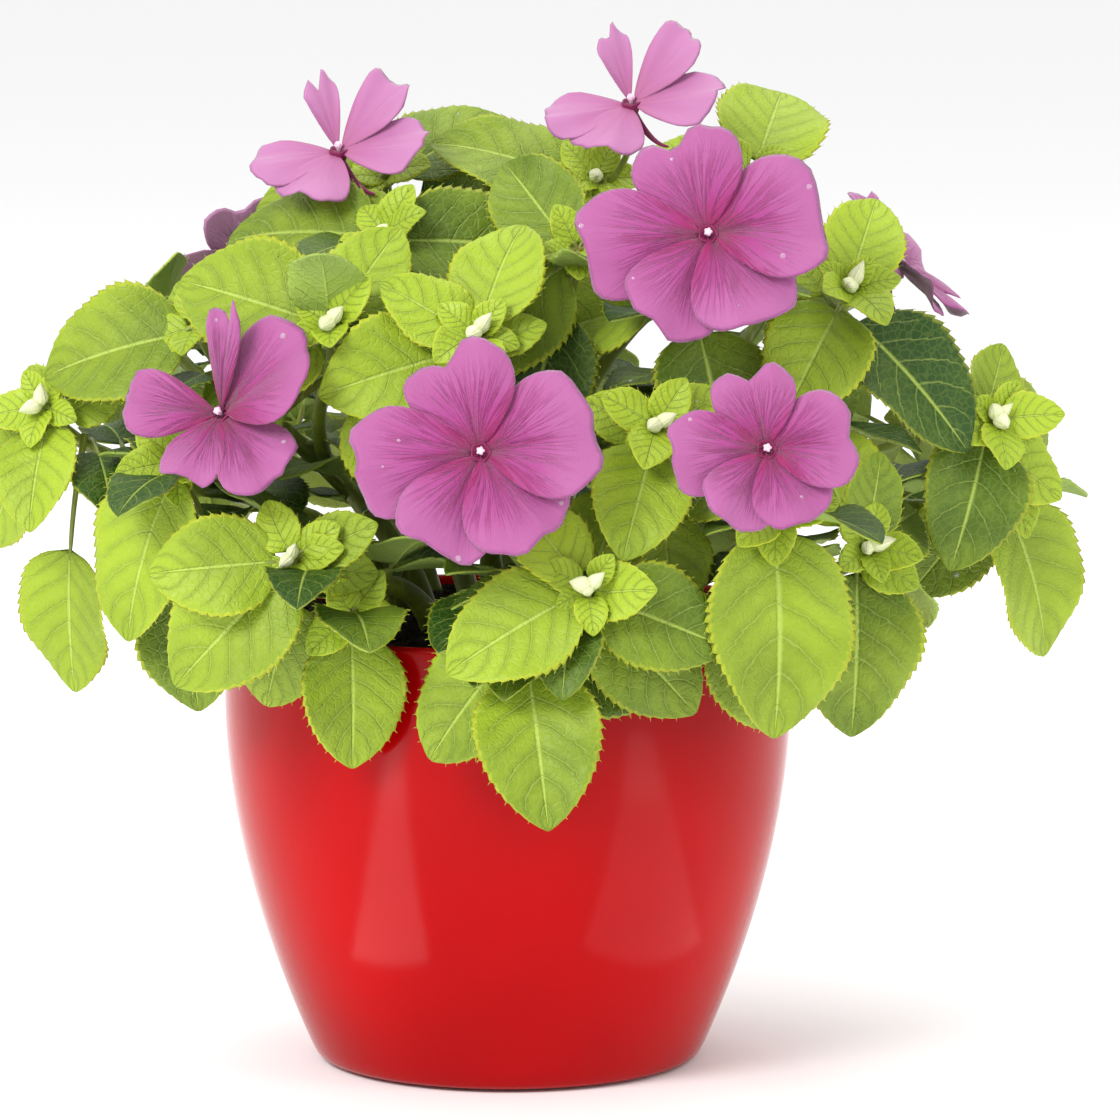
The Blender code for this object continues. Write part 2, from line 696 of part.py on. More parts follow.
def petal_point(frame, bloom, petal, ring, across):
    radius = bloom.radius * petal.length * ring * petal_reach(across)
    spread = petal.spread * (0.55 + 0.55 * math.sin(math.pi * 0.5 * ring))
    clock = petal.clock + across * spread
    rise = math.radians(petal.rise + bloom.cup * (1 - 0.45 * ring))
    lap = math.tan(math.radians(petal.twist)) * across * ring * bloom.radius * 0.42
    ruffle = 0.05 * bloom.radius * ring ** 2 * math.cos(across * 5.2 + petal.clock)
    return frame.at(clock, radius * math.cos(rise), radius * math.sin(rise) + lap + ruffle)


def petal_object(name, frame, bloom, petal, collection):
    """A petal as two skins that meet along its edge."""
    columns = [-1 + 2 * j / PETAL_ACROSS for j in range(PETAL_ACROSS + 1)]
    points, top, bottom = [], [], []
    for i, ring in enumerate(PETAL_RINGS):
        top_row, bottom_row = [], []
        for j, across in enumerate(columns):
            place = petal_point(frame, bloom, petal, ring, across)
            edge = i in (0, len(PETAL_RINGS) - 1) or j in (0, len(columns) - 1)
            if edge:
                points.append(place)
                top_row.append(len(points) - 1)
                bottom_row.append(len(points) - 1)
                continue
            for row, sign in ((top_row, 1), (bottom_row, -1)):
                points.append(place + frame.facing * sign * PETAL_THICKNESS / 2)
                row.append(len(points) - 1)
        top.append(top_row)
        bottom.append(bottom_row)
    faces = []
    for i in range(len(PETAL_RINGS) - 1):
        for j in range(PETAL_ACROSS):
            for rows, flip in ((top, False), (bottom, True)):
                a, b, c, d = rows[i][j], rows[i][j + 1], rows[i + 1][j + 1], rows[i + 1][j]
                for face in ((a, b, c), (a, c, d)):
                    faces.append(face[::-1] if flip else face)
    mesh = bpy.data.meshes.new(name)
    mesh.from_pydata([p * MM for p in points], [], faces)
    return link_mesh(name, mesh, collection)


def spur_path(frame, bloom):
    """The thin spur: out of the tube's side, back and down, then curling up at its end."""
    length = SPUR_LENGTH * bloom.radius / 22
    aside = (frame.right * 0.75 - frame.up * 0.65).normalized()
    start = frame.centre - frame.facing * 2.0 + aside * 1.0
    return [start + (aside * 0.8 * t - frame.facing * (0.85 * t - 0.5 * t * t)) * length
            for t in (0, 0.35, 0.7, 1.0)]


def make_bloom(name, bloom, collection, petal_material, eye_material, crowd):
    frame = BloomFrame(bloom)
    hub = cone("bloom_" + name, frame, HUB_RADIUS, 0.9, -HUB_BACK, HUB_FRONT, collection)
    hub.data.materials.append(petal_material)
    petals = [petal_object(f"{name}_petal_{i}", frame, bloom, petal, collection)
              for i, petal in enumerate(bloom.petals)]
    spur = tube(name + "_spur", spur_path(frame, bloom), SPUR_RADIUS * 1.3, SPUR_RADIUS * 0.5,
                collection, 0)
    for petal in petals:
        mesh = petal.data
        crowd.add("bloom_" + name, [v.co / MM for v in mesh.vertices],
                  [tuple(p.vertices) for p in mesh.polygons])
    crowd.add("bloom_" + name, [v.co / MM for v in spur.data.vertices],
              [tuple(p.vertices) for p in spur.data.polygons])
    unite(hub, petals + [spur])
    eye_centre = frame.centre + frame.facing * (HUB_FRONT + EYE_RADIUS + EYE_GAP)
    eye = ball("eye_" + name, eye_centre, EYE_RADIUS, collection, 3, 5, frame.facing)
    eye.data.materials.append(eye_material)


def cone(name, frame, wide, narrow, back, front, collection):
    """A short round tube body along the bloom's axis, wide at the front."""
    mesh = bpy.data.meshes.new(name)
    shape = bmesh.new()
    turn = frame.facing.to_track_quat("Z", "Y").to_matrix().to_4x4()
    middle = frame.centre + frame.facing * (back + front) / 2
    bmesh.ops.create_cone(
        shape, cap_ends=True, segments=8, radius1=narrow * MM, radius2=wide * MM,
        depth=(front - back) * MM, matrix=Matrix.Translation(middle * MM) @ turn)
    bmesh.ops.triangulate(shape, faces=shape.faces)
    shape.to_mesh(mesh)
    shape.free()
    return link_mesh(name, mesh, collection)


def pedicel_path(bloom, paths):
    """The bloom's green stalk, from the nearest shoot of its stem to just behind the tube."""
    frame = BloomFrame(bloom)
    seat = frame.centre - frame.facing * (HUB_BACK + EYE_GAP)
    root = min((point_along(path, s / 20) for path in paths for s in range(9, 20)),
               key=lambda p: (p - seat).length + abs(p.z - seat.z) * 0.2)
    sag = Vector((0, 0, -1)) * (seat - root).length * 0.10
    arrive = seat - frame.facing * (seat - root).length * 0.35 + sag
    leave = root.lerp(seat, 0.3)
    return [bezier(root, leave, arrive, seat, i / (PEDICEL_POINTS - 1)) for i in range(PEDICEL_POINTS)]


# Buds

def bud_stalk(name, shoot, collection):
    """The short stalk that carries a shoot's buds."""
    facing = Vector(shoot.facing).normalized()
    tip = Vector(shoot.tip)
    path = [tip - facing * STEM_TIP_RADIUS / 2, tip + facing * BUD_STALK]
    return tube(name, path, BUD_STALK_RADIUS * 1.3, BUD_STALK_RADIUS, collection, 0)


def bud_cluster(name, shoot, index, count, collection, material, crowd):
    """Pale buds fused at their feet, just off the bud stalk at the shoot's tip."""
    facing = Vector(shoot.facing).normalized()
    draw = random.Random(f"{name}_buds_{index}")
    seat = Vector(shoot.tip) + facing * (BUD_STALK + BUD_SEAT_GAP + BUD_SINK)
    first = None
    others = []
    for i in range(count):
        angle = GOLDEN_ANGLE * i + draw.uniform(0, 60)
        right = facing.orthogonal().normalized()
        spin = Matrix.Rotation(math.radians(angle), 3, facing)
        sideways = spin @ right
        size = BUD_RADIUS * draw.uniform(0.8, 1.15)
        axis = (facing + sideways * 0.8).normalized()
        bud = ball(f"buds_{name}_{index}" if first is None else f"bud_{i}",
                   seat + axis * (size * BUD_STRETCH - BUD_SINK), size, collection, 3, 5, axis, BUD_STRETCH)
        crowd.add("buds", [v.co / MM for v in bud.data.vertices],
                  [tuple(p.vertices) for p in bud.data.polygons])
        if first is None:
            first = bud
        else:
            others.append(bud)
    first.data.materials.append(material)
    if others:
        unite(first, others)
    return first


def main():
    clear_scene()
    plant = new_collection("busy_lizzie")
    leaf_green = principled("leaf_green", LEAF_GREEN, 0.45)
    petal_pink = principled("petal_pink", PETAL_PINK, 0.5)
    eye_white = principled("eye_white", EYE_WHITE, 0.5)
    bud_cream = principled("bud_cream", BUD_CREAM, 0.5)
    soil_black = principled("soil_black", SOIL_BLACK, 0.95)
    pot_red = principled("pot_red", POT_RED, 0.12)

    turned("pot", pot_profile(), POT_SIDES, plant, pot_red)
    routes = stem_paths()
    make_soil(plant, soil_black, routes)

    crowd = Crowd()
    rim = bpy.data.objects["pot"]
    rim_mesh = evaluated_mesh(rim)
    crowd.add("pot", [v.co / MM for v in rim_mesh.vertices], [tuple(p.vertices) for p in rim_mesh.polygons])
    soil_mesh = evaluated_mesh(bpy.data.objects["soil"])
    crowd.add("soil", [v.co / MM for v in soil_mesh.vertices], [tuple(p.vertices) for p in soil_mesh.polygons])

    stems = {}
    for name, (_, paths, radii) in routes.items():
        trunk = tube("stem_" + name, paths[0], radii[0], STEM_TIP_RADIUS, plant)
        trunk.data.materials.append(leaf_green)
        parts = [tube(f"{name}_branch_{i}", path, radius, STEM_TIP_RADIUS, plant)
                 for i, (path, radius) in enumerate(zip(paths[1:], radii[1:]))]
        parts += [bud_stalk(f"{name}_bud_stalk_{i}", shoot, plant)
                  for i, shoot in enumerate(STEMS[name].shoots) if shoot.buds]
        parts += [tube(f"{name}_pedicel_{key}", pedicel_path(bloom, paths), PEDICEL_RADIUS * 1.3,
                       PEDICEL_RADIUS, plant, 0)
                  for key, bloom in BLOOMS.items() if bloom.stem == name]
        for part in [trunk] + parts:
            crowd.add(f"stem_{name}_stem", [v.co / MM for v in part.data.vertices],
                      [tuple(p.vertices) for p in part.data.polygons])
        stems[name] = (trunk, parts)

    for name, bloom in BLOOMS.items():
        make_bloom(name, bloom, plant, petal_pink, eye_white, crowd)
    for name, stem in STEMS.items():
        for i, shoot in enumerate(stem.shoots):
            if shoot.buds:
                bud_cluster(name, shoot, i, shoot.buds, plant, bud_cream, crowd)

    for name, stem in STEMS.items():
        parts = stems[name][1]
        paths = routes[name][1]
        for i, shoot in enumerate(stem.shoots):
            for j, entry in enumerate(shoot.leaves):
                label = f"{name}_{i}_leaf_{j}"
                planned = partial(leaf_plan, label, shoot, paths[i], entry, j)
                plan = place_leaf(planned, "stem_" + name, crowd)
                if plan:
                    parts.append(leaf_object(plan, plant))
    for name, stem in STEMS.items():
        parts = stems[name][1]
        outward = math.atan2(stem.foot[1], stem.foot[0])
        for j in range(INNER_LEAVES):
            label = f"{name}_inner_{j}"
            planned = partial(inner_plan, label, routes[name][1][0], j, outward)
            plan = place_leaf(planned, "stem_" + name, crowd)
            if plan:
                parts.append(leaf_object(plan, plant))
    for trunk, parts in stems.values():
        unite(trunk, parts)


main()
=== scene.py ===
"""Busy lizzie in a glossy round pot: fine leaves, petals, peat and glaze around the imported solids.

The planting plan and the rules of growth are the ones that the solids were made by, in millimetres,
so each fine leaf and petal grows where its solid is. MM turns them into metres.
"""
import json
import math
import random
from collections import namedtuple
from functools import lru_cache, partial

import bmesh
import bpy
import numpy as np
from mathutils import Matrix, Vector, noise
from mathutils.bvhtree import BVHTree

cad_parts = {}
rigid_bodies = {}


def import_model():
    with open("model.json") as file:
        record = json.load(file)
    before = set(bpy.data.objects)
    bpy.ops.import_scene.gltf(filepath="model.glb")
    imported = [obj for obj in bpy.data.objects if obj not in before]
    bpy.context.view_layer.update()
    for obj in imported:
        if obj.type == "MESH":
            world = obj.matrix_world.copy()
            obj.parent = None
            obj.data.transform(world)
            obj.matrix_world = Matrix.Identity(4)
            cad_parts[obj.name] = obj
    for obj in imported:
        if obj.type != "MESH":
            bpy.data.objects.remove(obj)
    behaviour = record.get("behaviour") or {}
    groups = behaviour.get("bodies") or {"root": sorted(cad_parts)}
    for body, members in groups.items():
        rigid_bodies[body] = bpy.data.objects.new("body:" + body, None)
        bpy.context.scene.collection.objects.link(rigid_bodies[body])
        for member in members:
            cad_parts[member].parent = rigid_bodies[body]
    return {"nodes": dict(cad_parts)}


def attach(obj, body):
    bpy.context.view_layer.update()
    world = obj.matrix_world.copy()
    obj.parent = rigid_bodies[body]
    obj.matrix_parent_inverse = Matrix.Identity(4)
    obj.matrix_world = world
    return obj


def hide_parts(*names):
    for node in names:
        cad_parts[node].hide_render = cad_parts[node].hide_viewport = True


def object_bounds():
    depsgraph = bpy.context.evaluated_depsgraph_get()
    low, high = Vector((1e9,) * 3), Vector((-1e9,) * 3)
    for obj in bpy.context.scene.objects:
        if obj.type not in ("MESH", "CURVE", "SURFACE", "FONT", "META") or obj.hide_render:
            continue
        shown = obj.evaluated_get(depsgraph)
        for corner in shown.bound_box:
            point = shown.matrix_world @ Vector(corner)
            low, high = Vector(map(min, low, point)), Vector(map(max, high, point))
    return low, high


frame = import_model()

bl_info = {
    "name": "Busy Lizzie in a Pot",
    "version": (1, 0, 0),
    "blender": (4, 5, 0),
    "location": "View3D > Sidebar > Busy Lizzie",
    "description": "Leaves, blooms, buds, peat and a glazed pot around the plant's solids",
    "category": "Object",
}

CAD_BOX = [list(corner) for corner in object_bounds()]
MM = 0.001
GOLDEN_ANGLE = 137.5

# Pot
POT_HEIGHT = 104.0
POT_RIM_RADIUS = 64.8
POT_BELLY_RADIUS = 65.2
POT_BELLY_HEIGHT = 84.0
POT_TAPER = 21.2
POT_TAPER_POWER = 1.83
POT_FOOT_RADIUS = 38.5
POT_WALL = 3.0
POT_FLOOR = 4.0
POT_FLOOR_CORNER = 4.0
POT_INNER_HEIGHTS = range(8, 102, 6)
POT_OUTER_HEIGHTS = range(100, 2, -2)
POT_LIP_STEPS = 14
POT_FOOT_EDGE = ((2.0, 0.15), (1.0, 0.55))  # height, and how far it is drawn in
POT_FOOT_RING = (1.6, 0.35)  # width past the foot, and height

# Soil
SOIL_GAP = 0.7
SOIL_EDGE_HEIGHT = 98.5
SOIL_CROWN_HEIGHT = 107.0
SOIL_LUMP = 1.6
SOIL_LUMP_SCALE = 0.11
PEAT_RINGS = 46
PEAT_SIDES = 120
PEAT_FOOT_INSET = 4.7
PEAT_WALL_HEIGHTS = (12, 40, 70, 90)
PEAT_CLODS = ((3, 0.42, 0.8), (9, 1.3, 0.45))  # noise layer, scale and height
CRUMB_SMALLEST = 0.35
CRUMB_SEED = 11
CRUMB_BED_LOWEST = 90.0
CRUMB_BED_SLOPE = 0.4

# Stems
STEM_BASE_RADIUS = 2.7
STEM_TIP_RADIUS = 1.3
STEM_POINTS = 5
STEM_DEPTH = 12.0
STEM_ROOT_COVER = 1.5
STEM_SPLAY = 0.35
STEM_SET_OFF = 0.38  # share of the span that the stem keeps to the way it leaves
STEM_ARRIVAL = 0.30
STEM_LOOK = 0.55
STEM_LIFT = 0.45
BRANCH_ROOT_RADIUS = 1.7
BRANCH_FROM = 0.42  # share of the main path where the side shoot leaves it
BRANCH_AHEAD = 0.50
FINE_STEM_POINTS = 21
STEM_TIP_ROUND = 0.9
STEM_JOINT_SWELL = 1.12
STALK_RADIUS = 0.68
STALK_STEPS = 7
STALK_UNDER_BLADE = (2.5, 0.12)  # at most this far, and this share of the blade
ROD_FLARE = 1.3  # girth at the foot of a flower stalk, bud stalk or spur

# Leaves
LEAF_SIZE = 1.16
LEAF_WIDTH_SHARE = 0.78
LEAF_THICKNESS = 1.1
LEAF_STALK_HALF_WIDTH = 0.75
LONG_STALK = 11.0
STALK_POINTS = 7
LEAF_TEETH = 4
LEAF_LARGE = 34.0
LEAF_TOOTH_DEPTH = 0.09
LEAF_BASE_POWER = 0.52
LEAF_TIP_POWER = 0.80
LEAF_ROOT_SINK = 0.6
LEAF_CLEARANCE = 1.3
LEAF_LOWEST = 8
LEAF_ROW_POWER = 0.9
LEAF_CUP = 0.16
LEAF_CUP_SWING = 0.10
LEAF_FLUTTER = 0.35
LEAF_ROLL = 14
LEAF_BEND = (12, 28)
LEAF_GROWN = 20
GROWN_DROOP = 12
SMALL_DROOP = 6
LEAF_BACK_BY_REACH = 0.10
LEAF_FAR_REACH = 30
LEAF_BACK_BY_INDEX = 0.012
LEAF_TRIES = ((0, 0), (8, 0), (-8, 0), (0, 8), (0, -8), (16, 0), (-16, 0), (12, 12), (-12, -12),
              (24, 0), (-24, 0), (0, 16), (0, -16), (20, 16), (-20, -16), (32, 8), (-32, -8),
              (30, -18), (-30, 18), (42, 0), (-42, 0), (16, 26), (-16, -26), (50, 20), (-50, -20))
LEAF_SHRINKS = (1.0, 0.86, 0.72, 0.58)
INNER_LEAVES = 2
INNER_LENGTH = 30.0
INNER_REACH = 9.0
INNER_FROM = 0.50
INNER_STEP = 0.13
INNER_SWING = 30
INNER_TILT = 24
INNER_TILT_SPREAD = 12
INNER_SCALES = (0.8, 1.12)
INNER_BEND = (35, 60)
SHADE_LEAVES = (-0.9, -0.4, 2.1, 2.8)  # places along the shoot, counted in INNER_STEP from INNER_FROM
SHADE_SIZE = 0.80
YOUNG_LEAVES = 5
YOUNG_TURN = 40
YOUNG_SWING = 20
YOUNG_TILT = (22, 58)
YOUNG_LENGTH = (7, 14.5)
YOUNG_REACH = (1.5, 3.0)
YOUNG_BEND = (25, 60)
YOUNG_TEETH = 2
BOX_SLACK = 1.5

# Fine leaves
FINE_THICKNESS = 0.30
FINE_ACROSS = (-1, -0.92, -0.74, -0.50, -0.26, -0.07, 0, 0.07, 0.26, 0.50, 0.74, 0.92, 1)
FINE_TOOTH_STEPS = (0.0, 0.50, 0.88)
FINE_TOOTH_HEIGHTS = (0.0, 0.60, 1.0)
FINE_TOOTH_LENGTH = 2.2
FINE_TOOTH_DEPTH = 0.052
FINE_FEWEST_TEETH = 6
FINE_FOOT_FADE = 7
FINE_TIP_FADE = 9
FINE_LIFT_POWER = 1.45
FINE_WAVE = 0.085
FINE_QUILT = 0.026
FINE_QUILT_LENGTH = 26
FINE_GROOVE = 0.02
FINE_RIB = 0.38
RIB_WIDTH = 0.07
# Tones of the inner leaves and of the small leaves in the plant's shade: dark partly for their age and
# partly as painted shade for the plant's dark middle
INNER_TONES_WITH_PAINTED_SHADE = (0.75, 1.0)
YOUNG_TONES = (0.0, 0.12)
TONE_LENGTHS = (14, 26)  # the blade's length at age 0, and what age 1 adds
TONE_RANGE = (0.06, 0.40)  # the tone at age 0, and what age 1 adds
TONE_OF_FAR_LEAF = 0.15
TONE_OF_OLD_LEAF = 0.28
OLD_LEAF_CHANCE = 0.22
TONE_SPREAD = (-0.18, 0.22)
BRISTLE_LAST = 0.97
BRISTLE_GIRTH = 0.1
BRISTLE_SEED = 5
VEIN_PAIRS = 6
VEIN_SWEEP = 0.30
VEIN_SWEEP_POWER = 1.2

# Blooms
PETAL_RINGS = (0.05, 0.60, 1.0)
PETAL_ACROSS = 4
PETAL_THICKNESS = 0.9
PETAL_NOTCH = 0.15
PETAL_LAP = 11.0
PETAL_NOTCH_WIDTH = 0.3
PETAL_SHOULDER = 0.24
PETAL_OPENING = (0.55, 0.55)  # share of a petal's spread at its foot, and what its edge adds
PETAL_LIFT = 0.42
PETAL_RUFFLE = 0.05
RUFFLE_WAVES = 5.2
PETAL_FLATTENING = 0.45  # share of the bloom's cup that is gone at the petals' edge
HUB_BACK = 4.0
SPUR_LENGTH = 15.0
SPUR_RADIUS = 0.7
SPUR_BLOOM = 22  # radius of the bloom whose spur has the full length
SPUR_SHARES = (0, 0.35, 0.7, 1.0)
FINE_SPUR_SHARES = tuple(i / 11 for i in range(12))
SPUR_TIP_ROUND = 0.4
SPUR_SIDES = 10
SPUR_SIDEWAYS = (0.75, 0.65)  # to the right, and down
SPUR_SEAT = (2.0, 1.0)  # behind the petals, and out to the side
EYE_GAP = 0.35
PEDICEL_RADIUS = 0.75
PEDICEL_POINTS = 5
PEDICEL_ROOTS = [step / 20 for step in range(9, 20)]  # shares of a shoot where a flower stalk may start
PEDICEL_SAG = 0.10
PEDICEL_ARRIVAL = 0.35
PEDICEL_SET_OFF = 0.3
FINE_PEDICEL_POINTS = 14

# Fine petals. STANDARD is the first, upper petal, and SIDE is each of the others.
FINE_PETAL_ROWS = 18
FINE_PETAL_COLUMNS = 26
FINE_PETAL_THICKNESS = 0.22
FINE_PETAL_FOOT = 0.05
FINE_PETAL_SIDE = 0.995
PETAL_TONES = (0.35, 0.75)
WINGED_TONE = 0.25
WINGED_PALENESS = 0.5
FINE_PETAL_SPREAD = 1.22
STANDARD_NOTCH = 0.17
SIDE_NOTCH = 0.05
STANDARD_CREASE = 0.085
SIDE_CREASE = 0.035
FINE_PETAL_OPENING = (0.50, 0.60)
FINE_PETAL_LIFT = 0.46
FINE_PETAL_RUFFLE = 0.075
PETAL_FRILL = 0.026
PETAL_PLEAT = 0.009
PETAL_CURL = 0.05

# Turned pieces, as (radius, height): the tube's and the eye's from the petals' plane, and a bud's for
# a radius of 1
LOBES = 5
TUBE_SIDES = 25
TUBE_LOBE_DEPTH = 0.08
TUBE_PROFILE = ((0, -HUB_BACK), (0.7, -HUB_BACK), (1.0, -3.0), (1.5, -1.6), (2.0, -0.3), (2.2, 0.7),
                (2.05, 0.95), (1.7, 0.7), (1.1, 0.1), (0, -0.2))
EYE_SIDES = 30
EYE_LOBE_DEPTH = 0.16
EYE_PROFILE = ((0, -0.3), (0.42, -0.3), (0.38, 0.9), (0.66, 1.3), (0.86, 1.8), (0.78, 2.3),
               (0.45, 2.62), (0, 2.5))
BUD_SIDES = 18
BUD_LOBE_DEPTH = 0.05
BUD_PROFILE = ((0.0, -1.0), (0.30, -0.94), (0.66, -0.66), (0.94, -0.20), (1.0, 0.15), (0.90, 0.55),
               (0.66, 1.00), (0.40, 1.42), (0.18, 1.78), (0.0, 2.0))

# Buds
BUD_RADIUS = 1.7
BUD_STRETCH = 1.35
BUD_SEAT_GAP = 0.4
BUD_SINK = 0.6
BUD_STALK = 1.6
BUD_STALK_RADIUS = 0.6
BUD_SCALES = (0.8, 1.15)
BUD_SWING = (0, 60)
BUD_SPLAY = 0.8

# Water drops
DROP_SMALLEST = 0.22
DROP_LARGEST = 0.75
DROP_FLATNESS = 0.62
LEAF_DROP_SHARE = 0.12
DROP_SEED = 3
WET_FROM = 0.55  # share of the blade or petal beyond which drops gather
WET_SLOPE = -0.2

# Camera, set against the photograph: the pot's rim and foot give its height and its distance
CAMERA_RISE = 7.5
CAMERA_DISTANCE = 1.4
CAMERA_TARGET = (0.012, 0.0, 0.1155)
CAMERA_FRAME_WIDTH = 0.2576
CAMERA_SENSOR = 36.0
FLOOR_SIZE = 60.0
STRIP_HEIGHT = 0.006

# Lights: name, place in metres, width and height, power in watts
STUDIO_LIGHTS = (
    ("key_panel", (-1.0, -1.35, 1.30), (0.8, 0.8), 34.0),
    ("right_panel", (1.30, -0.80, 0.70), (0.6, 1.0), 6.0),
    ("top_panel", (0.1, 0.5, 1.6), (1.0, 1.0), 9.0),
)
# Low strips for the pot's upright highlights: name, bearing from the camera's side in degrees,
# distance from the pot's middle, width and length, power in watts
LOW_STRIPS = (
    ("left_strip", -42.0, 0.31, (0.045, 0.46), 0.20),
    ("left_strip_far", -42.0, 0.40, (0.040, 0.34), 0.12),
    ("right_strip", 52.0, 0.31, (0.08, 0.46), 0.14),
    ("right_strip_far", 51.0, 0.40, (0.07, 0.34), 0.12),
)
AIR_STRENGTH = 1.02

WHORL_YOUNGEST = 0.62
WHORL_LEAN = (14, 24)

# A leaf is (clock, length, reach, lean): the way it points as seen from in front of its shoot, in
# degrees from the top, its blade's length, its stalk's length, and how far it leans to the viewer.
Shoot = namedtuple("Shoot", "tip facing leaves buds")
Stem = namedtuple("Stem", "foot shoots")
Bloom = namedtuple("Bloom", "centre facing roll radius cup stem petals")
Petal = namedtuple("Petal", "clock spread length rise twist", defaults=(0, PETAL_LAP))


def whorl(first, count, length, reach=7, lean=2):
    """Leaves spaced by the golden angle, the first ones small, young and leant to the viewer."""
    leant, fall = WHORL_LEAN
    return tuple(
        (first + GOLDEN_ANGLE * i,
         length * (WHORL_YOUNGEST + (1 - WHORL_YOUNGEST) * i / (count - 1)),
         reach * (0.5 + i / count), lean + leant - fall * i / count)
        for i in range(count))


STEMS = {
    "left_low": Stem((-24, -10), (
        Shoot((-104, -20, 153), (-0.45, -0.80, 0.40),
              ((172, 23, 4, 18), (212, 29, 4, -4), (188, 30, 27, -14), (62, 14, 3, 15),
               (310, 13, 3, 20)), 2),
        Shoot((-72, -52, 144), (-0.35, -0.85, 0.40),
              ((196, 33, 4, 8), (150, 25, 14, -8), (176, 27, 24, -14), (60, 15, 4, 0)), 1))),
    "left_front": Stem((-17, -30), (
        Shoot((-46, -70, 125), (-0.25, -0.92, 0.30),
              ((258, 25, 5, 14), (222, 31, 4, 0), (62, 15, 3, 12), (96, 13, 3, 20), (200, 24, 9, -16)), 2),
        Shoot((-34, -64, 112), (0.05, -0.96, 0.25), ((178, 26, 5, 0),), 0),)),
    "left_high": Stem((-18, -14), (
        Shoot((-69, -30, 172), (-0.40, -0.80, 0.45),
              ((248, 31, 4, 8), (268, 27, 13, -10), (320, 13, 3, 10), (140, 20, 6, -6)), 0),
        Shoot((-38, -58, 175), (-0.15, -0.85, 0.50),
              ((288, 31, 4, 6), (28, 22, 4, 4), (150, 23, 17, -4), (230, 16, 4, 16)), 2))),
    "top_left": Stem((-9, 4), (
        Shoot((-28, 2, 203), (-0.15, -0.70, 0.70),
              ((38, 29, 5, 4), (262, 24, 4, 8), (72, 24, 8, -14), (150, 18, 4, 8)), 1),
        Shoot((-27, -28, 192), (-0.20, -0.78, 0.60),
              ((278, 33, 4, -4), (84, 29, 4, 0), (236, 26, 6, 6), (320, 16, 3, 10)), 1))),
    "middle": Stem((-3, -16), (
        Shoot((-6, -62, 173), (-0.05, -0.85, 0.52),
              ((12, 25, 4, 12), (300, 20, 3, 16), (248, 29, 4, -2), (70, 12, 3, 22)), 2),
        Shoot((16, -42, 190), (0.05, -0.80, 0.60),
              ((232, 32, 5, -6), (330, 24, 6, -6), (200, 28, 12, -12)), 0))),
    "top": Stem((7, 2), (
        Shoot((20, -8, 203), (0.0, -0.75, 0.66),
              ((292, 30, 6, -6), (250, 28, 5, 6), (215, 20, 5, 14), (345, 16, 4, 10)), 1),
        Shoot((56, -4, 204), (0.25, -0.72, 0.64),
              ((28, 29, 7, 2), (320, 18, 8, -10)), 0))),
    "right_high": Stem((18, -10), (
        Shoot((76, -40, 181), (0.25, -0.80, 0.55),
              ((25, 21, 4, 12), (215, 27, 4, 12), (140, 33, 6, 4), (335, 15, 5, 0)), 3),
        Shoot((41, -44, 180), (0.10, -0.80, 0.60),
              ((170, 32, 8, -4), (280, 26, 10, -12)), 0))),
    "right": Stem((26, -2), (
        Shoot((109, -30, 151), (0.42, -0.82, 0.40),
              ((205, 28, 4, 4), (322, 20, 4, 6), (30, 17, 4, 8), (78, 27, 5, -4), (132, 19, 4, 14)), 3),
        Shoot((112, -8, 134), (0.50, -0.78, 0.35),
              ((158, 33, 6, 0), (222, 24, 5, -8)), 0))),
    "right_front": Stem((24, -26), (
        Shoot((79, -60, 126), (0.30, -0.90, 0.35),
              ((20, 17, 4, 14), (350, 26, 7, 6), (182, 32, 5, -4), (128, 12, 3, 22), (60, 22, 8, -10)), 2),
        Shoot((58, -76, 136), (0.12, -0.92, 0.38),
              ((176, 39, 5, 2), (300, 20, 6, -8)), 0))),
    "front": Stem((5, -40), (
        Shoot((18, -90, 121), (0.05, -0.92, 0.36),
              ((242, 28, 4, 14), (325, 19, 4, 14), (20, 22, 5, 4), (112, 26, 4, 10), (135, 27, 6, -8),
               (92, 15, 3, 24)), 3),
        Shoot((4, -84, 110), (-0.05, -0.95, 0.25),
              ((222, 27, 5, 0), (170, 31, 9, 8), (110, 26, 5, 6)), 0))),
    "front_high": Stem((10, -28), (
        Shoot((33, -72, 154), (0.08, -0.88, 0.46),
              ((195, 25, 5, 6), (172, 22, 16, -6), (60, 14, 3, 12), (300, 13, 3, 12)), 2),
        Shoot((46, -64, 116), (0.20, -0.92, 0.34),
              ((150, 27, 5, -4), (120, 24, 12, 0)), 0))),
    "back_left": Stem((-18, 20), (
        Shoot((-82, 38, 165), (-0.75, 0.45, 0.50), whorl(20, 5, 29), 1),
        Shoot((-52, 82, 138), (-0.45, 0.80, 0.35), whorl(80, 5, 30), 1))),
    "back": Stem((0, 26), (
        Shoot((-8, 62, 187), (-0.10, 0.75, 0.65), whorl(200, 5, 30), 1),
        Shoot((6, 98, 142), (0.0, 0.90, 0.38), whorl(160, 5, 31), 2))),
    "back_right": Stem((20, 18), (
        Shoot((64, 48, 176), (0.60, 0.55, 0.58), whorl(140, 5, 29), 1),
        Shoot((96, 58, 140), (0.70, 0.62, 0.35), whorl(230, 5, 30), 2))),
}

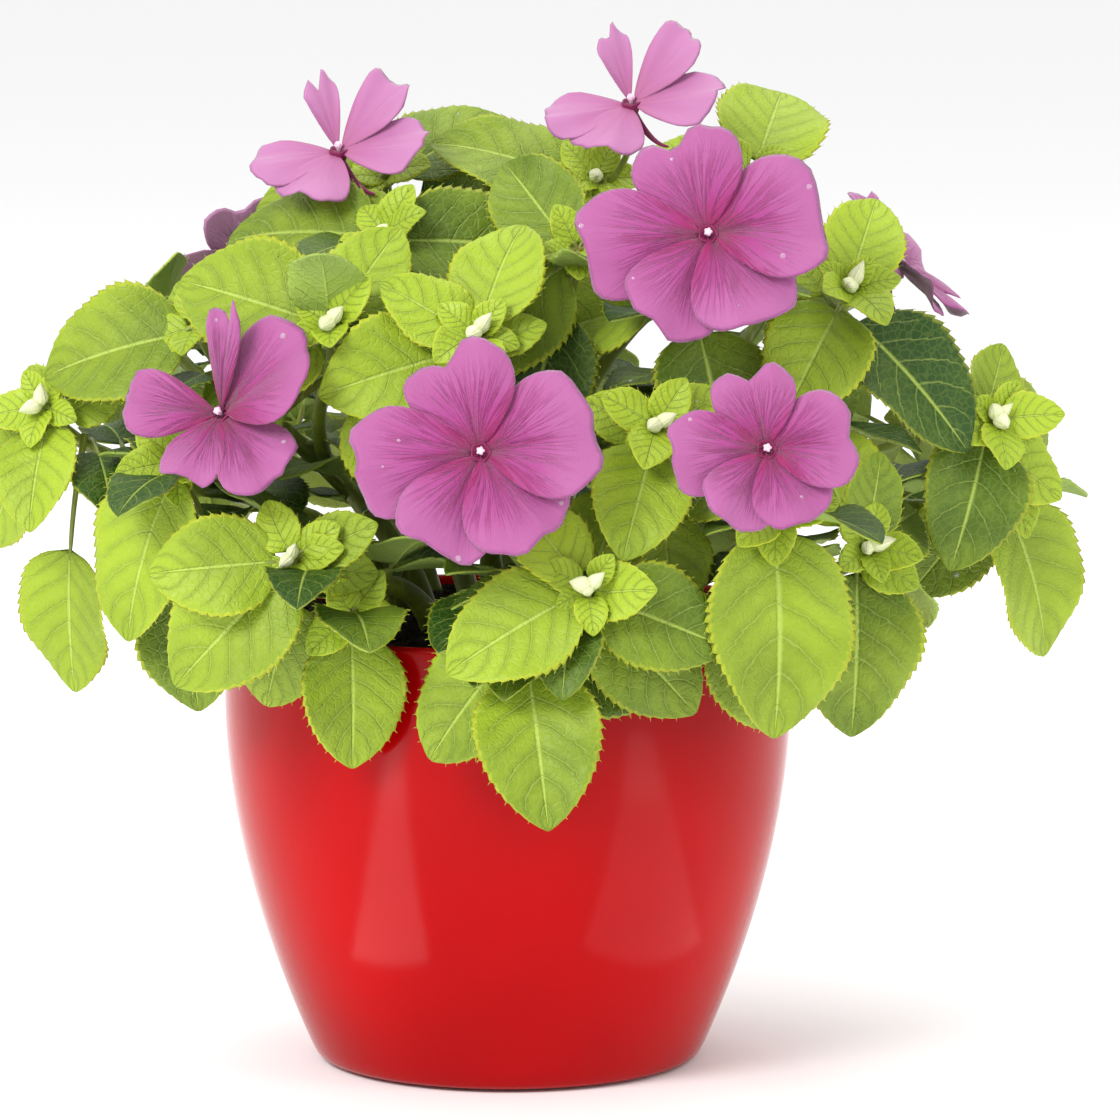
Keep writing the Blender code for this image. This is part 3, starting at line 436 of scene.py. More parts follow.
# The same five petals on each bloom: wide open, raised like wings, or half closed. A petal's rise is
# how far it stands up from the bloom's face, in degrees, beyond the bloom's own cup, and its twist
# lifts one side over the next petal.
OPEN_PETALS = (
    Petal(344, 38, 0.97),
    Petal(264, 33, 1.10, -2),
    Petal(206, 34, 0.98),
    Petal(150, 38, 0.97, 3),
    Petal(78, 44, 1.03),
)
WINGED_PETALS = (
    Petal(320, 33, 0.92, 56),
    Petal(48, 26, 1.12, 33, -22),
    Petal(100, 28, 1.10, 8, -30),
    Petal(202, 38, 0.92, -16),
    Petal(252, 27, 1.02, -6, 20),
)
NODDING_PETALS = (
    Petal(4, 17, 1.03, 24),
    Petal(54, 42, 1.12, 8),
    Petal(128, 29, 1.00, -6),
    Petal(188, 30, 0.80, 8),
    Petal(266, 26, 0.96, 14),
)

BLOOMS = {
    "upper_left": Bloom((-38, -12, 210), (-0.05, -0.32, 0.94), 0, 20, 6, "top_left", WINGED_PETALS),
    "top": Bloom((28, -17, 221), (-0.05, -0.32, 0.94), 0, 20, 6, "top", WINGED_PETALS),
    "upper_right": Bloom((44, -72, 196), (0.02, -0.90, 0.42), 0, 26, 8, "right_high", OPEN_PETALS),
    "left": Bloom((-62, -64, 156), (-0.42, -0.72, 0.50), 0, 24, 12, "left_high", NODDING_PETALS),
    "centre": Bloom((-5, -94, 151), (0.0, -0.94, 0.34), 0, 25.5, 8, "middle", OPEN_PETALS),
    "right": Bloom((56, -97, 152), (0.10, -0.94, 0.34), 4, 19.5, 8, "right_front", OPEN_PETALS),
    "far_right": Bloom((88, -6, 184), (0.72, -0.10, 0.60), 30, 21, 22, "right_high", OPEN_PETALS),
    "back_left": Bloom((-62, 58, 178), (-0.55, 0.62, 0.55), 40, 22, 14, "back_left", OPEN_PETALS),
    "back": Bloom((20, 88, 176), (0.15, 0.80, 0.58), 80, 24, 10, "back", OPEN_PETALS),
    "back_low": Bloom((56, 96, 136), (0.42, 0.84, 0.30), 10, 21, 12, "back_right", OPEN_PETALS),
}


# Growth, by the rules of the solids

def pot_radius(height):
    """The pot's outer radius at a height above the foot."""
    if height >= POT_BELLY_HEIGHT:
        share = (height - POT_BELLY_HEIGHT) / (POT_HEIGHT - POT_BELLY_HEIGHT)
        return POT_BELLY_RADIUS + (POT_RIM_RADIUS - POT_BELLY_RADIUS) * share
    share = (POT_BELLY_HEIGHT - height) / POT_BELLY_HEIGHT
    return POT_BELLY_RADIUS - POT_TAPER * share ** POT_TAPER_POWER


def soil_height(x, y):
    """The mound's height at a place, with its lumps."""
    share = min(1.0, math.hypot(x, y) / (POT_RIM_RADIUS - POT_WALL))
    mound = SOIL_CROWN_HEIGHT + (SOIL_EDGE_HEIGHT - SOIL_CROWN_HEIGHT) * share ** 2
    lumps = noise.noise(Vector((x, y, 0)) * SOIL_LUMP_SCALE) * SOIL_LUMP * (1 - share ** 4)
    return mound + lumps


def axes_of(grown):
    """The way a shoot or bloom looks, its right and its up, as seen from in front of it."""
    facing = Vector(grown.facing).normalized()
    right = Vector((0, 0, 1)).cross(facing).normalized()
    return facing, right, facing.cross(right)


def bezier(a, b, c, d, t):
    """The place at a share of the curve from a to d."""
    s = 1 - t
    return a * s ** 3 + b * 3 * s * s * t + c * 3 * s * t * t + d * t ** 3


def stem_path(start, rise, tip, facing, count=STEM_POINTS):
    """Points in millimetres from start to tip, leaving along rise and arriving along facing."""
    span = (tip - start).length
    leave = start + rise * span * STEM_SET_OFF
    arrive = tip - (facing * STEM_LOOK + Vector((0, 0, STEM_LIFT))).normalized() * span * STEM_ARRIVAL
    return [bezier(start, leave, arrive, tip, i / (count - 1)) for i in range(count)]


def point_along(path, share):
    """The place at a share of a path's points."""
    place = share * (len(path) - 1)
    i = min(int(place), len(path) - 2)
    return path[i].lerp(path[i + 1], place - i)


def stem_paths(count=STEM_POINTS):
    """For each stem its shoots' paths and their start radii, all in millimetres."""
    found = {}
    for name, stem in STEMS.items():
        x, y = stem.foot
        ground = Vector((x, y, soil_height(x, y)))
        main = stem.shoots[0]
        outward = Vector((x, y, 0)).normalized()
        rise = (Vector((0, 0, 1)) + outward * STEM_SPLAY).normalized()
        facing = Vector(main.facing).normalized()
        above = stem_path(ground, rise, Vector(main.tip), facing)
        root = ground - Vector((0, 0, STEM_DEPTH - STEM_ROOT_COVER))
        paths = [[root] + stem_path(ground, rise, Vector(main.tip), facing, count)]
        radii = [STEM_BASE_RADIUS]
        for shoot in stem.shoots[1:]:
            tip = Vector(shoot.tip)
            start = point_along(above, BRANCH_FROM)
            ahead = (point_along(above, BRANCH_AHEAD) - start).normalized()
            rise = (ahead + (tip - start).normalized()).normalized()
            paths.append(stem_path(start, rise, tip, Vector(shoot.facing).normalized(), count))
            radii.append(BRANCH_ROOT_RADIUS)
        found[name] = (paths, radii)
    return found


class LeafPlan(namedtuple("LeafPlan", "name root out face length reach bend")):
    """Where one leaf grows: its root, the way it sets off, its upper side, its sizes and its bend."""

    def frame_at(self, along):
        """The centre line's place, direction and upper side at a distance along it."""
        turn = self.bend * along / (self.length + self.reach)
        ratio = (self.length + self.reach) / self.bend
        place = self.root + self.out * ratio * math.sin(turn) - self.face * ratio * (1 - math.cos(turn))
        ahead = self.out * math.cos(turn) - self.face * math.sin(turn)
        upper = self.face * math.cos(turn) + self.out * math.sin(turn)
        return place, ahead, upper


def blade_half_width(share, length):
    """The leaf blade's half width at a share of its length, before its teeth."""
    a, b = LEAF_BASE_POWER, LEAF_TIP_POWER
    top = (a / (a + b)) ** a * (b / (a + b)) ** b
    return 0.5 * LEAF_WIDTH_SHARE * length * share ** a * (1 - share) ** b / top


def leaf_rows(plan, teeth):
    """(distance along, half width) for each row of points from the root to the tip."""
    rows = [(0.0, LEAF_STALK_HALF_WIDTH), (plan.reach, LEAF_STALK_HALF_WIDTH)]
    if plan.reach > LONG_STALK:
        rows.insert(1, (plan.reach / 2, LEAF_STALK_HALF_WIDTH))
    steps = 2 * teeth
    for i in range(1, steps):
        share = (i / steps) ** LEAF_ROW_POWER
        tooth = 1 + LEAF_TOOTH_DEPTH * (1 if i % 2 else -1)
        rows.append((plan.reach + plan.length * share, blade_half_width(share, plan.length) * tooth))
    rows.append((plan.reach + plan.length, 0.0))
    return rows


def leaf_cup(half, share, flutter):
    """How far the blade's edges stand over its midrib."""
    return half * (LEAF_CUP + LEAF_CUP_SWING * math.sin(5 * share + flutter * 9))


def leaf_flutter(name):
    """How much higher a leaf's left edge stands than its right one."""
    return random.Random(name).uniform(-LEAF_FLUTTER, LEAF_FLUTTER)


def two_skins(top, bottom, mirrored=False):
    """Triangles between the rows of two grids of point numbers, turned over on the lower one. A leaf's
    first column is split the other way, so that its halves mirror each other."""
    faces = []
    for i in range(len(top) - 1):
        for j in range(len(top[0]) - 1):
            for rows, flip in ((top, False), (bottom, True)):
                a, b, c, d = rows[i][j], rows[i][j + 1], rows[i + 1][j + 1], rows[i + 1][j]
                split = ((a, b, d), (b, c, d)) if mirrored and j == 0 else ((a, b, c), (a, c, d))
                faces += [face[::-1] if flip else face for face in split if len(set(face)) == 3]
    return faces


def leaf_shape(plan, teeth, thicken=0.0):
    """Vertices and faces of a leaf's plain solid: two skins that meet along its edge."""
    rows = leaf_rows(plan, teeth)
    flutter = leaf_flutter(plan.name)
    points, top, bottom = [], [], []
    for i, (along, half) in enumerate(rows):
        place, ahead, upper = plan.frame_at(along)
        side = ahead.cross(upper)
        share = max(0.0, (along - plan.reach) / plan.length)
        cup = leaf_cup(half, share, flutter)
        half += thicken if i else 0
        if i == len(rows) - 1:
            points.append(place + ahead * thicken)
            top.append([len(points) - 1] * 3)
            bottom.append([len(points) - 1] * 3)
            continue
        thick = LEAF_THICKNESS / 2 + thicken * 0.6
        left = place - side * half + upper * cup * (1 + flutter)
        right = place + side * half + upper * cup * (1 - flutter)
        start = len(points)
        if i == 0:
            points += [left, place, right]
            top.append([start, start + 1, start + 2])
            bottom.append([start, start + 1, start + 2])
        else:
            points += [left, place + upper * thick, right, place - upper * thick]
            top.append([start, start + 1, start + 2])
            bottom.append([start, start + 3, start + 2])
    return points, two_skins(top, bottom, mirrored=True)


def shape_tree(points, faces):
    return BVHTree.FromPolygons([tuple(p) for p in points], faces)


def bounds_of(points):
    low = [min(p[i] for p in points) for i in range(3)]
    high = [max(p[i] for p in points) for i in range(3)]
    return low, high


def boxes_meet(a, b):
    return all(a[0][i] <= b[1][i] and b[0][i] <= a[1][i] for i in range(3))


class Crowd:
    """What stands already, so that the next leaf can be bent clear of it."""

    def __init__(self):
        self.items = []

    def add(self, owner, points, faces):
        self.items.append((owner, bounds_of(points), shape_tree(points, faces)))

    def meets(self, points, faces, own, own_faces):
        """True if the piece touches something. Against an owner in own, only own_faces count."""
        box = bounds_of(points)
        tree = shape_tree(points, faces)
        own_tree = shape_tree(points, own_faces)
        for owner, other_box, other_tree in self.items:
            if boxes_meet(box, other_box) and (own_tree if owner in own else tree).overlap(other_tree):
                return True
        return False


def leant(grown, angle, tilt):
    """The way a blade points and the way its upper side looks, at an angle round its shoot."""
    facing, right, upward = axes_of(grown)
    radial = upward * math.cos(angle) + right * math.sin(angle)
    return (radial * math.cos(tilt) + facing * math.sin(tilt),
            facing * math.cos(tilt) - radial * math.sin(tilt))


def leaf_plan(name, shoot, path, entry, index, lean_by=0.0, turn_by=0.0, scale=1.0):
    """The plan of a shoot's leaf, with the bend that its weight gives it."""
    clock, length, reach, lean = entry
    draw = random.Random(name)
    out, face = leant(shoot, math.radians(clock + turn_by), math.radians(lean + lean_by))
    face = Matrix.Rotation(math.radians(draw.uniform(-LEAF_ROLL, LEAF_ROLL)), 3, out) @ face
    back = 1.0 - LEAF_BACK_BY_REACH * min(1.0, reach / LEAF_FAR_REACH) - LEAF_BACK_BY_INDEX * index
    root = point_along(path, back) - out * LEAF_ROOT_SINK
    bend = math.radians(draw.uniform(*LEAF_BEND) + (GROWN_DROOP if length > LEAF_GROWN else SMALL_DROOP))
    length *= LEAF_SIZE * scale
    return LeafPlan(name, root, out, face, length, reach * (0.5 + 0.5 * scale), bend)


def inner_plan(name, path, index, outward, lean_by=0.0, turn_by=0.0, scale=1.0):
    """The plan of an older leaf on the stem's side, held out level and drooping at its tip."""
    draw = random.Random(name)
    along = INNER_FROM + INNER_STEP * index
    swing = draw.uniform(-INNER_SWING, INNER_SWING)
    angle = math.radians(GOLDEN_ANGLE * index + swing + turn_by * 2) + outward
    level = Vector((math.cos(angle), math.sin(angle), 0))
    tilt = math.radians(INNER_TILT + draw.uniform(-INNER_TILT_SPREAD, INNER_TILT_SPREAD) + lean_by)
    out = level * math.cos(tilt) + Vector((0, 0, math.sin(tilt)))
    face = Vector((0, 0, math.cos(tilt))) - level * math.sin(tilt)
    length = INNER_LENGTH * draw.uniform(*INNER_SCALES) * scale
    bend = math.radians(draw.uniform(*INNER_BEND))
    return LeafPlan(name, point_along(path, along) - out * LEAF_ROOT_SINK, out, face, length,
                    INNER_REACH * scale, bend)


def shade_plan(name, path, index, outward, lean_by=0.0, turn_by=0.0, scale=1.0):
    """The plan of a small leaf in the plant's shade."""
    return inner_plan(name, path, index, outward, lean_by, turn_by, scale * SHADE_SIZE)


def young_leaf(name, stem, shoot, index, crowd):
    """The plan of a small leaf just unfolding around a shoot's tip, or None where there is no room."""
    draw = random.Random(name)
    angle = math.radians(GOLDEN_ANGLE * index + draw.uniform(-YOUNG_SWING, YOUNG_SWING) + YOUNG_TURN)
    out, face = leant(shoot, angle, math.radians(draw.uniform(*YOUNG_TILT)))
    root = Vector(shoot.tip) - out * LEAF_ROOT_SINK
    plan = LeafPlan(name, root, out, face, draw.uniform(*YOUNG_LENGTH), draw.uniform(*YOUNG_REACH),
                    math.radians(draw.uniform(*YOUNG_BEND)))
    points, faces = leaf_shape(plan, YOUNG_TEETH)
    own = ("stem_" + stem, f"stem_{stem}_stem", "buds")
    return plan if inside_box(points) and not crowd.meets(points, faces, own, []) else None


def inside_box(points):
    """True where every point lies within the solids' box, give or take a little."""
    low, high = CAD_BOX
    return all(low[k] / MM - BOX_SLACK < point[k] < high[k] / MM + BOX_SLACK
               for point in points for k in range(3))


def teeth_for(length):
    """Teeth on each side of a plain leaf of this length."""
    return LEAF_TEETH if length > LEAF_LARGE else LEAF_TEETH - 1


def place_leaf(planned, owner, crowd):
    """The leaf's plan, leant and turned until it is clear of what stands already, or None."""
    for scale in LEAF_SHRINKS:
        for lean_by, turn_by in LEAF_TRIES:
            plan = planned(lean_by, turn_by, scale)
            teeth = teeth_for(plan.length)
            points, faces = leaf_shape(plan, teeth, LEAF_CLEARANCE)
            if min(p.z for p in points) < LEAF_LOWEST:
                continue
            if "_shade_" in plan.name and not inside_box(points):
                continue
            blade = [f for f in faces if min(f) >= STALK_POINTS]
            if not crowd.meets(points, faces, (owner, owner + "_stem"), blade):
                crowd.add(owner, *leaf_shape(plan, teeth))
                return plan
    return None


class BloomFrame:
    """A bloom's axes: facing is the way it looks, up and right are its picture plane."""

    def __init__(self, bloom):
        self.centre = Vector(bloom.centre)
        self.facing, right, upward = axes_of(bloom)
        roll = Matrix.Rotation(math.radians(-bloom.roll), 3, self.facing)
        self.right = roll @ right
        self.up = roll @ upward

    def at(self, clock, radius, height):
        """The place at a clock angle in degrees, a radius and a height over the bloom's face."""
        angle = math.radians(clock)
        flat = self.up * math.cos(angle) + self.right * math.sin(angle)
        return self.centre + flat * radius + self.facing * height


def petal_reach(across):
    """A petal's length at a place across it: a notch in the middle and rounded shoulders."""
    notch = PETAL_NOTCH * math.exp(-(across / PETAL_NOTCH_WIDTH) ** 2)
    return 1 - notch - PETAL_SHOULDER * abs(across) ** 3


def petal_rise(bloom, petal, ring):
    """The angle in radians at which a petal stands up from the bloom's face."""
    return math.radians(petal.rise + bloom.cup * (1 - PETAL_FLATTENING * ring))


def petal_point(frame_of, bloom, petal, ring, across):
    """A place on a petal's plain solid, at a share of its length and from -1 to 1 across it."""
    radius = bloom.radius * petal.length * ring * petal_reach(across)
    foot, edge = PETAL_OPENING
    spread = petal.spread * (foot + edge * math.sin(math.pi * 0.5 * ring))
    clock = petal.clock + across * spread
    rise = petal_rise(bloom, petal, ring)
    lap = math.tan(math.radians(petal.twist)) * across * ring * bloom.radius * PETAL_LIFT
    ruffle = PETAL_RUFFLE * bloom.radius * ring ** 2 * math.cos(across * RUFFLE_WAVES + petal.clock)
    return frame_of.at(clock, radius * math.cos(rise), radius * math.sin(rise) + lap + ruffle)


def petal_shape(frame_of, bloom, petal):
    """Vertices and faces of a petal's plain solid."""
    columns = [-1 + 2 * j / PETAL_ACROSS for j in range(PETAL_ACROSS + 1)]
    points, top, bottom = [], [], []
    for i, ring in enumerate(PETAL_RINGS):
        top_row, bottom_row = [], []
        for j, across in enumerate(columns):
            place = petal_point(frame_of, bloom, petal, ring, across)
            if i in (0, len(PETAL_RINGS) - 1) or j in (0, len(columns) - 1):
                points.append(place)
                top_row.append(len(points) - 1)
                bottom_row.append(len(points) - 1)
                continue
            for row, sign in ((top_row, 1), (bottom_row, -1)):
                points.append(place + frame_of.facing * sign * PETAL_THICKNESS / 2)
                row.append(len(points) - 1)
        top.append(top_row)
        bottom.append(bottom_row)
    return points, two_skins(top, bottom)


def spur_path(frame_of, bloom, shares=SPUR_SHARES):
    """The thin spur: out of the tube's side, back and down, then curling up at its end."""
    length = SPUR_LENGTH * bloom.radius / SPUR_BLOOM
    rightward, downward = SPUR_SIDEWAYS
    behind, beside = SPUR_SEAT
    aside = (frame_of.right * rightward - frame_of.up * downward).normalized()
    start = frame_of.centre - frame_of.facing * behind + aside * beside
    return [start + (aside * 0.8 * t - frame_of.facing * (0.85 * t - 0.5 * t * t)) * length
            for t in shares]


def pedicel_path(bloom, paths, count=PEDICEL_POINTS):
    """The bloom's green stalk, from the nearest shoot of its stem to just behind the tube."""
    frame_of = BloomFrame(bloom)
    seat = frame_of.centre - frame_of.facing * (HUB_BACK + EYE_GAP)
    root = min((point_along(path, share) for path in paths for share in PEDICEL_ROOTS),
               key=lambda p: (p - seat).length + abs(p.z - seat.z) * 0.2)
    span = (seat - root).length
    arrive = seat - frame_of.facing * span * PEDICEL_ARRIVAL + Vector((0, 0, -1)) * span * PEDICEL_SAG
    leave = root.lerp(seat, PEDICEL_SET_OFF)
    return [bezier(root, leave, arrive, seat, i / (count - 1)) for i in range(count)]


def bud_stalk_path(shoot):
    """The short stalk from a shoot's tip to its buds."""
    facing = Vector(shoot.facing).normalized()
    tip = Vector(shoot.tip)
    return [tip - facing * STEM_TIP_RADIUS / 2, tip + facing * BUD_STALK]


def bud_places(name, shoot, index):
    """(centre, axis, radius) of each bud in a shoot's cluster."""
    facing = Vector(shoot.facing).normalized()
    draw = random.Random(f"{name}_buds_{index}")
    seat = Vector(shoot.tip) + facing * (BUD_STALK + BUD_SEAT_GAP + BUD_SINK)
    places = []
    for i in range(shoot.buds):
        angle = GOLDEN_ANGLE * i + draw.uniform(*BUD_SWING)
        sideways = Matrix.Rotation(math.radians(angle), 3, facing) @ facing.orthogonal().normalized()
        size = BUD_RADIUS * draw.uniform(*BUD_SCALES)
        axis = (facing + sideways * BUD_SPLAY).normalized()
        places.append((seat + axis * (size * BUD_STRETCH - BUD_SINK), axis, size))
    return places


# Planting, worked out once and shared by the operators

def coarse_rod(path, start_radius, end_radius, level):
    """Points and faces of a plain tapered rod, as the solids have them, in millimetres."""
    curve = bpy.data.curves.new("rod", "CURVE")
    curve.dimensions = "3D"
    curve.bevel_depth = MM
    curve.bevel_resolution = level
    curve.use_fill_caps = True
    spline = curve.splines.new("POLY")
    spline.points.add(len(path) - 1)
    for i, place in enumerate(path):
        spline.points[i].co = (*(place * MM), 1)
        spline.points[i].radius = start_radius + (end_radius - start_radius) * i / (len(path) - 1)
    guide = bpy.data.objects.new("rod", curve)
    bpy.context.scene.collection.objects.link(guide)
    bpy.context.view_layer.update()
    mesh = bpy.data.meshes.new_from_object(guide.evaluated_get(bpy.context.evaluated_depsgraph_get()))
    points = [v.co / MM for v in mesh.vertices]
    faces = [tuple(p.vertices) for p in mesh.polygons]
    bpy.data.objects.remove(guide)
    bpy.data.meshes.remove(mesh)
    bpy.data.curves.remove(curve)
    return points, faces


def coarse_bud(centre, axis, radius):
    """Points and faces of a plain bud, as the solids have them, in millimetres."""
    shape = bmesh.new()
    turn = axis.to_track_quat("Z", "Y").to_matrix().to_4x4()
    size = Matrix.Diagonal((radius, radius, radius * BUD_STRETCH, 1))
    bmesh.ops.create_uvsphere(shape, u_segments=5, v_segments=3, radius=1,
                              matrix=Matrix.Translation(centre) @ turn @ size)
    shape.verts.index_update()
    points = [v.co.copy() for v in shape.verts]
    faces = [tuple(v.index for v in f.verts) for f in shape.faces]
    shape.free()
    return points, faces


@lru_cache(maxsize=None)
def planting():
    """Each stem's leaves, placed clear of each other by the rule that placed their solids."""
    crowd = Crowd()
    for node in ("pot", "soil"):
        mesh = frame["nodes"][node].data
        crowd.add(node, [v.co / MM for v in mesh.vertices], [tuple(p.vertices) for p in mesh.polygons])
    routes = stem_paths()
    for name, (paths, radii) in routes.items():
        rods = [(path, radius, STEM_TIP_RADIUS, 1) for path, radius in zip(paths, radii)]
        rods += [(bud_stalk_path(shoot), BUD_STALK_RADIUS * ROD_FLARE, BUD_STALK_RADIUS, 0)
                 for shoot in STEMS[name].shoots if shoot.buds]
        rods += [(pedicel_path(bloom, paths), PEDICEL_RADIUS * ROD_FLARE, PEDICEL_RADIUS, 0)
                 for bloom in BLOOMS.values() if bloom.stem == name]
        for rod in rods:
            crowd.add(f"stem_{name}_stem", *coarse_rod(*rod))
    for name, bloom in BLOOMS.items():
        frame_of = BloomFrame(bloom)
        for petal in bloom.petals:
            crowd.add("bloom_" + name, *petal_shape(frame_of, bloom, petal))
        crowd.add("bloom_" + name, *coarse_rod(spur_path(frame_of, bloom), SPUR_RADIUS * ROD_FLARE,
                                               SPUR_RADIUS * 0.5, 0))
    for name, stem in STEMS.items():
        for i, shoot in enumerate(stem.shoots):
            for centre, axis, radius in bud_places(name, shoot, i):
                crowd.add("buds", *coarse_bud(centre, axis, radius))
    leaves = {name: [] for name in STEMS}

    def plant(stem_name, rule, *given):
        leaves[stem_name].append(place_leaf(partial(rule, *given), "stem_" + stem_name, crowd))

    for name, stem in STEMS.items():
        for i, shoot in enumerate(stem.shoots):
            for j, entry in enumerate(shoot.leaves):
                plant(name, leaf_plan, f"{name}_{i}_leaf_{j}", shoot, routes[name][0][i], entry, j)
    outward = {name: math.atan2(stem.foot[1], stem.foot[0]) for name, stem in STEMS.items()}
    for name in STEMS:
        for j in range(INNER_LEAVES):
            plant(name, inner_plan, f"{name}_inner_{j}", routes[name][0][0], j, outward[name])
    for name in STEMS:
        for path in routes[name][0]:
            for j in SHADE_LEAVES:
                plant(name, shade_plan, f"{name}_shade_{j}_{len(leaves[name])}", path, j, outward[name])
    for name, stem in STEMS.items():
        for i, shoot in enumerate(stem.shoots):
            for j in range(YOUNG_LEAVES):
                leaves[name].append(young_leaf(f"{name}_{i}_young_{j}", name, shoot, j, crowd))
    return {name: [plan for plan in plans if plan] for name, plans in leaves.items()}


# Nodes and shader expressions

def live(sockets, key):
    """The socket of this number, or of this name that the node's settings leave in use."""
    if isinstance(key, int):
        return sockets[key]
    return next(socket for socket in sockets if socket.enabled and socket.name == key)


class Bench:
    """Adds nodes to a tree and feeds their sockets."""

    def feed(self, node, inputs):
        """Sets or links a node's sockets, by name or number."""
        for key, given in inputs.items():
            source = given.socket if isinstance(given, Value) else given
            if isinstance(source, bpy.types.NodeSocket):
                self.tree.links.new(source, live(node.inputs, key))
            else:
                live(node.inputs, key).default_value = source

    def node(self, kind, inputs=None, **settings):
        """Adds a node: its settings first, then its sockets."""
        made = self.tree.nodes.new(kind)
        for key, setting in settings.items():
            setattr(made, key, setting)
        self.feed(made, inputs or {})
        return made


class Value:
    """A number that varies over a surface. Arithmetic on it adds Math nodes to its look's tree."""

    def __init__(self, look, socket):
        self.look = look
        self.socket = socket

    def __add__(self, other):
        return self.look.math("ADD", self, other)

    def __sub__(self, other):
        return self.look.math("SUBTRACT", self, other)

    def __rsub__(self, other):
        return self.look.math("SUBTRACT", other, self)

    def __mul__(self, other):
        return self.look.math("MULTIPLY", self, other)

    def __pow__(self, other):
        return self.look.math("POWER", self, other)

    def __abs__(self):
        return self.look.math("ABSOLUTE", self)

    __radd__ = __add__
    __rmul__ = __mul__

    def fade(self, low, high):
        """0 below low and 1 above high, smooth between."""
        made = self.look.node("ShaderNodeMapRange", {"Value": self, "From Min": low, "From Max": high},
                              interpolation_type="SMOOTHSTEP")
        return Value(self.look, made.outputs["Result"])

    def from_nearest_whole(self):
        """How far the value lies from the nearest whole number, 0 to 0.5."""
        return abs(self.look.math("FRACT", self + 0.5) - 0.5)


class Look(Bench):
    """One material: its node tree, and the nodes that are added to it."""

    def __init__(self, name, settings):
        self.material = bpy.data.materials.new(name)
        self.material.use_nodes = True
        self.tree = self.material.node_tree
        self.shader = self.tree.nodes["Principled BSDF"]
        self.feed(self.shader, settings)

    def math(self, operation, *operands):
        made = self.node("ShaderNodeMath", dict(enumerate(operands)), operation=operation)
        return Value(self, made.outputs[0])

    def mix(self, factor, a, b):
        """A colour between a and b. A Mix node's colours are its sockets 6 and 7 and its output 2."""
        made = self.node("ShaderNodeMix", {0: factor, 6: a, 7: b}, data_type="RGBA")
        return made.outputs[2]

    def noise(self, place, scale, detail=3.0, roughness=0.5):
        made = self.node("ShaderNodeTexNoise", {"Vector": place, "Scale": scale, "Detail": detail,
                                                "Roughness": roughness})
        return Value(self, made.outputs["Fac"])

    def cells(self, place, scale):
        """How near a place is to the line between two cells."""
        made = self.node("ShaderNodeTexVoronoi", {"Vector": place, "Scale": scale},
                         feature="DISTANCE_TO_EDGE")
        return Value(self, made.outputs["Distance"])

    def place(self):
        return self.node("ShaderNodeTexCoord").outputs["Object"]

    def pattern(self):
        """The pattern coordinates: across the blade or petal, and along it."""
        uv = self.node("ShaderNodeUVMap", uv_map="pattern")
        parts = self.node("ShaderNodeSeparateXYZ", {0: uv.outputs[0]})
        return Value(self, parts.outputs[0]), Value(self, parts.outputs[1])

    def traits(self):
        """A blade's or petal's tone, which on the inner and shade leaves is partly painted shade, whether
        it is the underside, and a phase.
        """
        made = self.node("ShaderNodeAttribute", attribute_name="traits")
        parts = self.node("ShaderNodeSeparateColor", {0: made.outputs["Color"]})
        return [Value(self, parts.outputs[i]) for i in range(3)]

    def vector(self, x, y, z):
        return self.node("ShaderNodeCombineXYZ", {0: x, 1: y, 2: z}).outputs[0]

    def finish(self, colour=None, roughness=None, height=None, relief=0.0003, strength=1.0):
        """Feeds the shader and returns the material. relief is the bump's depth in metres."""
        found = {"Base Color": colour, "Roughness": roughness}
        self.feed(self.shader, {key: given for key, given in found.items() if given is not None})
        if height is not None:
            bump = self.node("ShaderNodeBump", {
                "Height": height, "Distance": relief, "Strength": strength})
            self.feed(self.shader, {"Normal": bump.outputs[0]})
        return self.material


def opaque(colour, shade=1.0):
    """A colour property as a socket's four numbers, lightened or darkened."""
    return (colour[0] * shade, colour[1] * shade, colour[2] * shade, 1.0)


# Finishes

def glaze(colours):
    look = Look("pot_glaze", {"IOR": 1.45, "Specular IOR Level": 0.14})
    place = look.place()
    cloud = look.noise(place, 18.0, 2.0)
    ripple = look.noise(place, 95.0, 2.0)
    grain = look.noise(place, 1400.0, 1.0)
    colour = look.mix(cloud.fade(0.3, 0.75), opaque(colours.pot_red, 0.90),
                      opaque(colours.pot_red, 1.06))
    return look.finish(colour, 0.13 + grain * 0.05, ripple + grain * 0.04, 0.0002, 0.35)


def peat_crumb(colours):
    look = Look("peat_crumb", {"Specular IOR Level": 0.25})
    place = look.place()
    clods = look.noise(place, 260.0, 5.0, 0.65)
    dust = look.noise(place, 1500.0, 3.0, 0.6)
    fibre = look.noise(place, 620.0, 2.0).fade(0.62, 0.75)
    colour = look.mix(clods, opaque(colours.peat, 0.5), opaque(colours.peat, 2.0))
    colour = look.mix(fibre * 0.5, colour, (0.13, 0.075, 0.035, 1.0))
    return look.finish(colour, 0.82 + dust * 0.15, clods + dust * 0.4, 0.0012)


